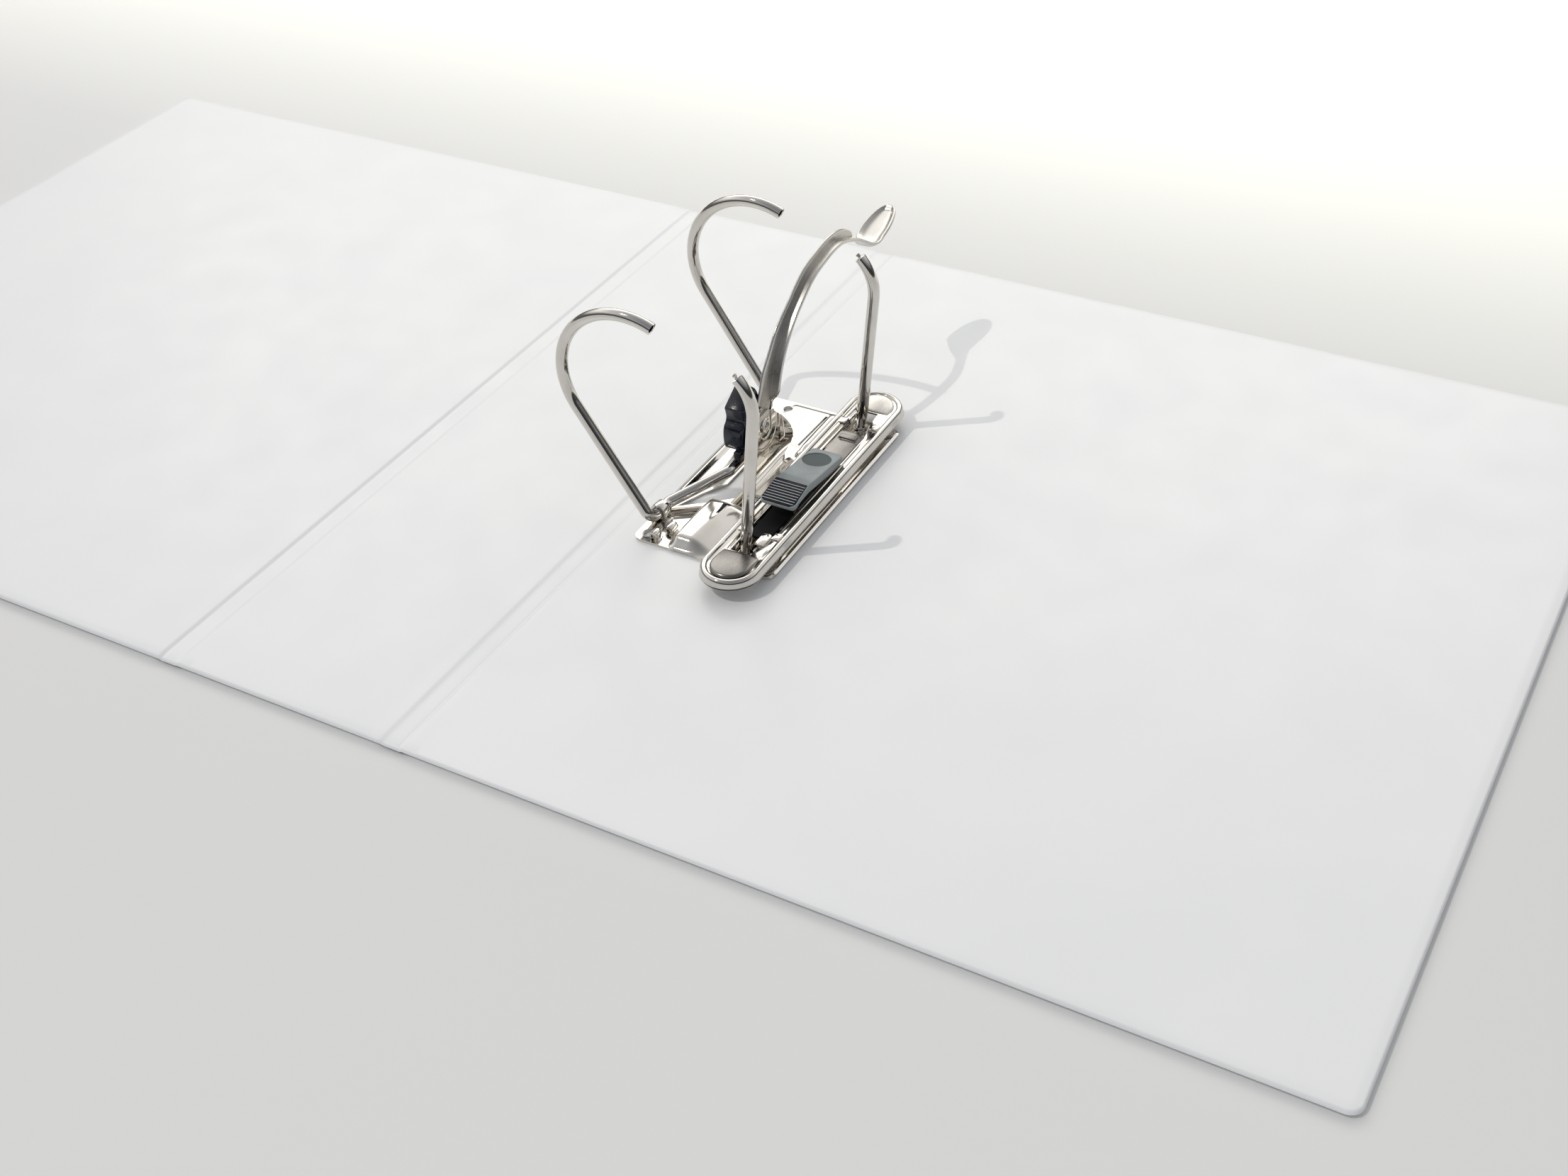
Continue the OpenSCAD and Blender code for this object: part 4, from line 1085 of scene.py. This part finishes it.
block_front = [
    (-8.0, 8.5), (-7.6, 6.8), (-7.4, 5.2), (-7.9, 3.8), (-9.2, 2.5), (-9.9, 0.6), (-10.1, -2.0), (-9.9, -4.4),
    (-9.1, -6.0), (-7.4, -6.5),
]
block_side = [(0.4, 14.0), (-7.8, 9.2)] + eased(block_front, 4) + [
    (-2.6, -6.6), (-2.0, -8.0), (10.0, -8.0), (11.5, -7.5), (12.1, -6.4), (11.4, -5.2), (9.6, -4.4),
    (5.6, -1.0), (4.2, 6.4),
]
cam_block = plate_outline(block_side, lambda y, z: (22.1, LEVER_Y + y, LEVER_Z + z))
pull(7.2, 0, 0)
outwards()
pick(cam_block, "EDGE", lambda p, d: p.x > 29.2 and p.y < LEVER_Y - 0.5 and p.z > LEVER_Z - 6)
bpy.ops.mesh.bevel(offset=1.5 * MM, segments=3, affect="EDGES")
pick(cam_block, "EDGE", lambda p, d: p.x < 22.2 and p.y < LEVER_Y - 0.5 and p.z > LEVER_Z - 6.4)
bpy.ops.mesh.bevel(offset=0.5 * MM, segments=3, affect="EDGES")
soften(cam_block, 0.3, 3, 38)
heel = begin(
    bpy.ops.mesh.primitive_cube_add, size=1,
    location=spot(27.9, LEVER_Y - 9.0, LEVER_Z - 6.9), scale=(2.7 * MM, 5.4 * MM, 3.2 * MM),
)
soften(heel, 0.5, 3, 40)
join(cam_block, heel)
rivet_room = begin(
    bpy.ops.mesh.primitive_cylinder_add, vertices=40, radius=3.6 * MM, depth=4 * MM,
    location=spot(29.5, LEVER_Y, LEVER_Z), rotation=(0, math.pi / 2, 0),
)
cut(cam_block, rivet_room)
hand_over(cam_block, "cam_moulding", navy_abs, "lever", ("cam_block",), 30)


# Compressor bar and its lock

BAR_X, BAR_Y = 52, -4.5


def stadium_face(length, width, z, sides=96):
    """A flat bar outline with two round ends, long along y."""
    face = begin(
        bpy.ops.mesh.primitive_circle_add, vertices=sides, radius=width / 2 * MM, fill_type="NGON",
        location=spot(BAR_X, BAR_Y, z),
    )
    pick(face, "VERT", lambda p, n: p.y > BAR_Y + 0.01)
    shift(0, (length - width) / 2, 0)
    pick(face, "VERT", lambda p, n: p.y < BAR_Y - 0.01)
    shift(0, -(length - width) / 2, 0)
    bpy.ops.mesh.select_mode(type="FACE")
    bpy.ops.mesh.select_all(action="SELECT")
    return face


bar = stadium_face(119, 21, 4.9)
for thick, rise in (
    (0.1, 0.12), (0.2, 0.55), (0.12, 1.0), (0.18, 0.62), (0.3, 0.5), (0.42, 0.26), (0.45, 0.06),
    (0.42, -0.08), (0.34, -0.26), (0.22, -0.42), (0.3, -0.12), (1.35, 0.0),
):
    bpy.ops.mesh.inset(thickness=thick * MM, depth=rise * MM)
outwards()
modify(bar, "SOLIDIFY", thickness=0.8 * MM, offset=-1)
bar_slot = [
    (46.2, -46.7), (54.9, -46.7), (55.2, -40.0), (56.4, -36.0), (58.4, -29.0), (58.4, 20.0),
    (56.6, 31.0), (55.4, 36.0), (55.0, 41.6), (46.2, 41.6), (45.6, 28.0), (45.6, -33.0),
]
cut(bar, prism(bar_slot, 2, 12))
soften(bar, 0.12, 2, 55)
fold = begin(
    bpy.ops.mesh.primitive_cube_add, size=1,
    location=spot(54.9, -38.1, 7.35), scale=(3.2 * MM, 6.4 * MM, 0.5 * MM),
)
pick(fold, "EDGE", lambda p, d: abs(d.z) > 0.9 and p.y > -36)
bpy.ops.mesh.bevel(offset=1.1 * MM, segments=5, affect="EDGES")
soften(fold, 0.14, 2, 40)
join(bar, fold)
hand_over(bar, "compressor_bar", bright_nickel, "compressor", ("compressor_plate",), 40)


PAD_R, PAD_TOP = 6.6, 8.1


def end_pad(name, side, flat_y, finish):
    """The embossed pad on an end of the bar: round outside, straight inside, domed, with a rolled edge."""
    centre_y = BAR_Y + side * 49.3
    reach = abs(centre_y + side * PAD_R - flat_y)

    def dome(u, v):
        y = flat_y + side * reach * math.sin(v * math.pi / 2)
        past = max(0, side * (y - centre_y))
        half = max(0.01, math.sqrt(max(0, PAD_R ** 2 - past ** 2)))
        x = half * math.sin((u - 0.5) * math.pi)
        rim = min(half - abs(x), PAD_R - math.hypot(x, past), abs(y - flat_y) + 0.25)
        roll = 0.55 * (1 - math.sqrt(max(0, 1 - (1 - min(1, max(0, rim) / 0.7)) ** 2)))
        sag = 0.011 * (y - flat_y - side * 8.2) ** 2 + 0.008 * x * x
        return BAR_X + x, y, PAD_TOP - sag - roll

    pad = form_sheet(40, 44, dome)
    bpy.ops.object.mode_set(mode="EDIT")
    bpy.ops.mesh.select_all(action="SELECT")
    bpy.ops.mesh.remove_doubles(threshold=0.01 * MM)
    bpy.ops.mesh.normals_make_consistent(inside=False)
    modify(pad, "SOLIDIFY", thickness=0.4 * MM, offset=0)
    hand_over(pad, name, finish, "compressor", (), 40)


# The near pad gets the nickel with painted shade in its tones; the far pad gets the plain satin nickel.
end_pad("near_end_pad", -1, -47.2, brushed_nickel_painted_shade)
end_pad("far_end_pad", 1, 42.2, satin_nickel)


def clamp_strip(name, x, out, low, node):
    """A clamp strip: a thin blade on edge, with a lug folded out over the bar's ledge near each end."""
    top = 6.4
    blade = begin(
        bpy.ops.mesh.primitive_cube_add, size=1,
        location=spot(x, BAR_Y, (low + top) / 2), scale=(0.6 * MM, 96 * MM, (top - low) * MM),
    )
    for y in (-46.5, -36.8, -33.2, 31.5, 35.1, 41.0):
        bpy.ops.mesh.select_all(action="SELECT")
        bpy.ops.mesh.bisect(plane_co=spot(x, y, 5.2), plane_no=(0, 1, 0))
    for y in (-35, 33.3):
        pick(blade, "FACE", lambda p, n: n.z > 0.9 and abs(p.y - y) < 1)
        pull(0, 0, 1.1)
        pick(blade, "FACE", lambda p, n: n.x * out > 0.9 and abs(p.y - y) < 1 and p.z > 6.5)
        pull(out * 1.9, 0, 0.1)
    soften(blade, 0.16, 2, 40)
    hand_over(blade, name, bright_nickel, "compressor", (node,), 40)


clamp_strip("left_clamp_blade", 46.9, -1, 4.0, "left_clamp_strip")
clamp_strip("right_clamp_blade", 57.1, 1, 2.0, "right_clamp_strip")

lock_plate = begin(
    bpy.ops.mesh.primitive_cube_add, size=1,
    location=spot(BAR_X, 6.0, 5.8), scale=(8.8 * MM, 46.5 * MM, 0.8 * MM),
)
for y in (23.2, 27.6):
    bpy.ops.mesh.select_all(action="SELECT")
    bpy.ops.mesh.bisect(plane_co=spot(BAR_X, y, 5.8), plane_no=(0, 1, 0))
pick(lock_plate, "FACE", lambda p, n: n.z > 0.9 and 23 < p.y < 28)
bpy.ops.mesh.inset(thickness=0.9 * MM, depth=0)
pull(0, 0, 0.9)
bpy.ops.transform.resize(value=(0.86, 0.8, 1), center_override=spot(BAR_X, 25.4, 7.1))
soften(lock_plate, 0.22, 3, 30)
# The lock plate under the button takes the nickel whose darker tones are painted shade.
hand_over(lock_plate, "lock_slider", brushed_nickel_painted_shade, "lock", ("lock_plate",), 40)

NEAR_END, CREST, FAR_END = -24.05, -13.1, 11.25
NEAR_TOP, CREST_TOP, FAR_TOP = 11.5, 13.3, 9.8
TOP_FALL = (CREST_TOP - FAR_TOP) / (FAR_END - CREST)
RAMP_FALL = (CREST_TOP - NEAR_TOP) / (CREST - NEAR_END)
BUTTON_HALF = 6.1
button_side = [
    (NEAR_END, 10.0), (-19.5, 10.3), (CREST, 10.5), (-6.0, 9.4), (2.0, 8.2), (FAR_END, 7.25),
    (FAR_END, FAR_TOP), (CREST, CREST_TOP), (NEAR_END, NEAR_TOP),
]
button = plate_outline(button_side, lambda y, z: (BAR_X - BUTTON_HALF, y, z))
pull(2 * BUTTON_HALF, 0, 0)
outwards()
for middle, wide in ((NEAR_END, 6.6), (FAR_END, 5.8)):
    pick(button, "VERT", lambda p, n: abs(p.y - middle) < 0.1)
    bpy.ops.transform.resize(value=(wide / BUTTON_HALF, 1, 1), center_override=spot(BAR_X, middle, 9))
pick(button, "EDGE", lambda p, d: abs(d.z) > 0.9 and (p.y > FAR_END - 0.1 or p.y < NEAR_END + 0.1))
bpy.ops.mesh.bevel(offset=1.6 * MM, segments=5, affect="EDGES")
soften(button, 0.4, 4, 34)
DIMPLE_X, DIMPLE_Y = BAR_X - 0.5, 4.1
top_tilt = math.atan(TOP_FALL)
dimple_turn = (-top_tilt, 0, 0)
dimple_face = Vector((0, math.sin(top_tilt), math.cos(top_tilt)))
dimple_middle = Vector((DIMPLE_X, DIMPLE_Y, FAR_TOP + (FAR_END - DIMPLE_Y) * TOP_FALL))
recess = begin(
    bpy.ops.mesh.primitive_cylinder_add, vertices=72, radius=4.9 * MM, depth=2 * MM,
    location=spot(*(dimple_middle + 0.4 * dimple_face)), rotation=dimple_turn,
)
cut(button, recess)
soften(button, 0.16, 3, 60)
foot = begin(
    bpy.ops.mesh.primitive_cube_add, size=1, location=spot(BAR_X, 0, 7.6), scale=(5.6 * MM, 16 * MM, 3 * MM)
)
soften(foot, 0.3, 2, 40)
join(button, foot)
hand_over(button, "slider_button", grey_abs, "lock", ("lock_button",), 35)

# The floor of the thumb recess, in the grey-green plastic painted darker as painted shade.
dimple = begin(
    bpy.ops.mesh.primitive_circle_add, vertices=72, radius=4.8 * MM, fill_type="NGON",
    location=spot(*(dimple_middle - 0.75 * dimple_face)), rotation=dimple_turn,
)
pull(*(0.5 * dimple_face))
for thick, sink in ((0.3, 0.05), (0.8, 0.1), (1.2, 0.08)):
    bpy.ops.mesh.inset(thickness=thick * MM, depth=-sink * MM)
outwards()
hand_over(dimple, "lock_dimple", dimple_abs_painted_shade, "lock", (), 35)

# A black sheet in the bar's slot under the button's near end: painted shade for the dark void there.
slot_shade_sheet = begin(
    bpy.ops.mesh.primitive_cube_add, size=1,
    location=spot(BAR_X - 0.4, -27.6, 5.6), scale=(7.6 * MM, 17 * MM, 1.0 * MM),
)
pick(slot_shade_sheet, "EDGE", lambda p, d: abs(d.z) > 0.9 and p.y < -30)
bpy.ops.mesh.bevel(offset=1.2 * MM, segments=4, affect="EDGES")
soften(slot_shade_sheet, 0.2, 2, 40)
hand_over(slot_shade_sheet, "lock_slot_painted_shade", black_abs_painted_shade, "lock", (), 35)


def ramp_top(y):
    """The height of the button's ramp."""
    return CREST_TOP - (CREST - y) * RAMP_FALL


# A near-black sheet laid on the ramp between the ribs: painted dark reflection of the dim horizon in the
# glossy ramp.
ramp_reflection_outline = [
    (-6.05, CREST - 0.2), (-6.35, -20.5), (-6.4, -22.2), (-5.9, -23.4), (-4.9, -23.95),
    (4.6, -23.95), (5.6, -23.4), (6.1, -22.2), (6.0, -20.5), (5.7, CREST - 0.2),
]
ramp_reflection_sheet = plate_outline(ramp_reflection_outline, lambda x, y: (BAR_X + x, y, ramp_top(y) - 0.3))
pull(0, 0, 0.4)
outwards()
soften(ramp_reflection_sheet, 0.1, 2, 40)
hand_over(ramp_reflection_sheet, "lock_ramp_painted_reflection", ramp_abs_painted_reflection, "lock", (), 35)

ramp_tilt = math.atan(RAMP_FALL)
rib_run = Vector((0, math.cos(ramp_tilt), math.sin(ramp_tilt)))
RIB_COUNT, RIB_STEP, FIRST_RIB = 8, 1.18, -22.9
rib = begin(
    bpy.ops.mesh.primitive_cube_add, size=1,
    location=spot(BAR_X - 0.2, FIRST_RIB, ramp_top(FIRST_RIB) + 0.04), rotation=(ramp_tilt, 0, 0),
    scale=(11.4 * MM, 0.22 * MM, 0.4 * MM),
)
pick(rib, "EDGE", lambda p, d: abs(d.x) > 0.9 and p.z > ramp_top(FIRST_RIB))
bpy.ops.mesh.bevel(offset=0.07 * MM, segments=3, affect="EDGES")
bpy.ops.object.mode_set(mode="OBJECT")
# Each rib gets the paler plastic, whose lightness is painted highlight on its crest.
for count in range(RIB_COUNT):
    each = copy_of(rib)
    each.data.transform(Matrix.Translation(count * RIB_STEP * MM * rib_run))
    hand_over(each, f"lock_rib_{count + 1}", rib_abs_painted_highlight, "lock", (), 35)
bpy.data.objects.remove(rib, do_unlink=True)


# Floor and surroundings

floor = begin(bpy.ops.mesh.primitive_plane_add, size=8, location=(0, 0, -0.0002))
bpy.ops.object.mode_set(mode="OBJECT")
floor.name = "studio_floor"
floor.data.materials.append(floor_finish())

world = bpy.data.worlds.new("studio")
scene.world = world
world.use_nodes = True
air = world.node_tree
where = air.nodes.new("ShaderNodeTexCoord").outputs["Generated"]
height = add_node(air, "ShaderNodeSeparateXYZ", None, Vector=where)
sky_bands = [(0.0, (0.3, 0.3, 0.3, 1))]
for rise, light in ((0.05, 0.09), (0.22, 0.11), (0.4, 0.6), (0.55, 0.9), (0.75, 0.6)):
    sky_bands.append((rise, (light, light * 1.01, light * 1.03, 1)))
sky_bands.append((1.0, (0.36, 0.365, 0.38, 1)))
sky = add_node(air, "ShaderNodeValToRGB", {"stops": sky_bands}, Fac=height.outputs["Z"])
lean = add_node(air, "ShaderNodeVectorMath", {"operation": "DOT_PRODUCT", 1: (-0.55, 0.83, 0)}, i0=where)
toward_panel = add_node(
    air, "ShaderNodeMapRange", {"From Min": -1, "From Max": 1, "To Min": 0, "To Max": 1},
    Value=lean.outputs["Value"],
)
tint = add_node(
    air, "ShaderNodeValToRGB", {"stops": ((0.22, (0.24, 0.25, 0.27, 1)), (0.9, (1.0, 0.98, 0.94, 1)))},
    Fac=toward_panel.outputs["Result"],
)
lit = add_node(
    air, "ShaderNodeVectorMath", {"operation": "MULTIPLY"},
    i0=sky.outputs["Color"], i1=tint.outputs["Color"],
)
air.links.new(lit.outputs["Vector"], air.nodes["Background"].inputs["Color"])
air.nodes["Background"].inputs["Strength"].default_value = 1.7
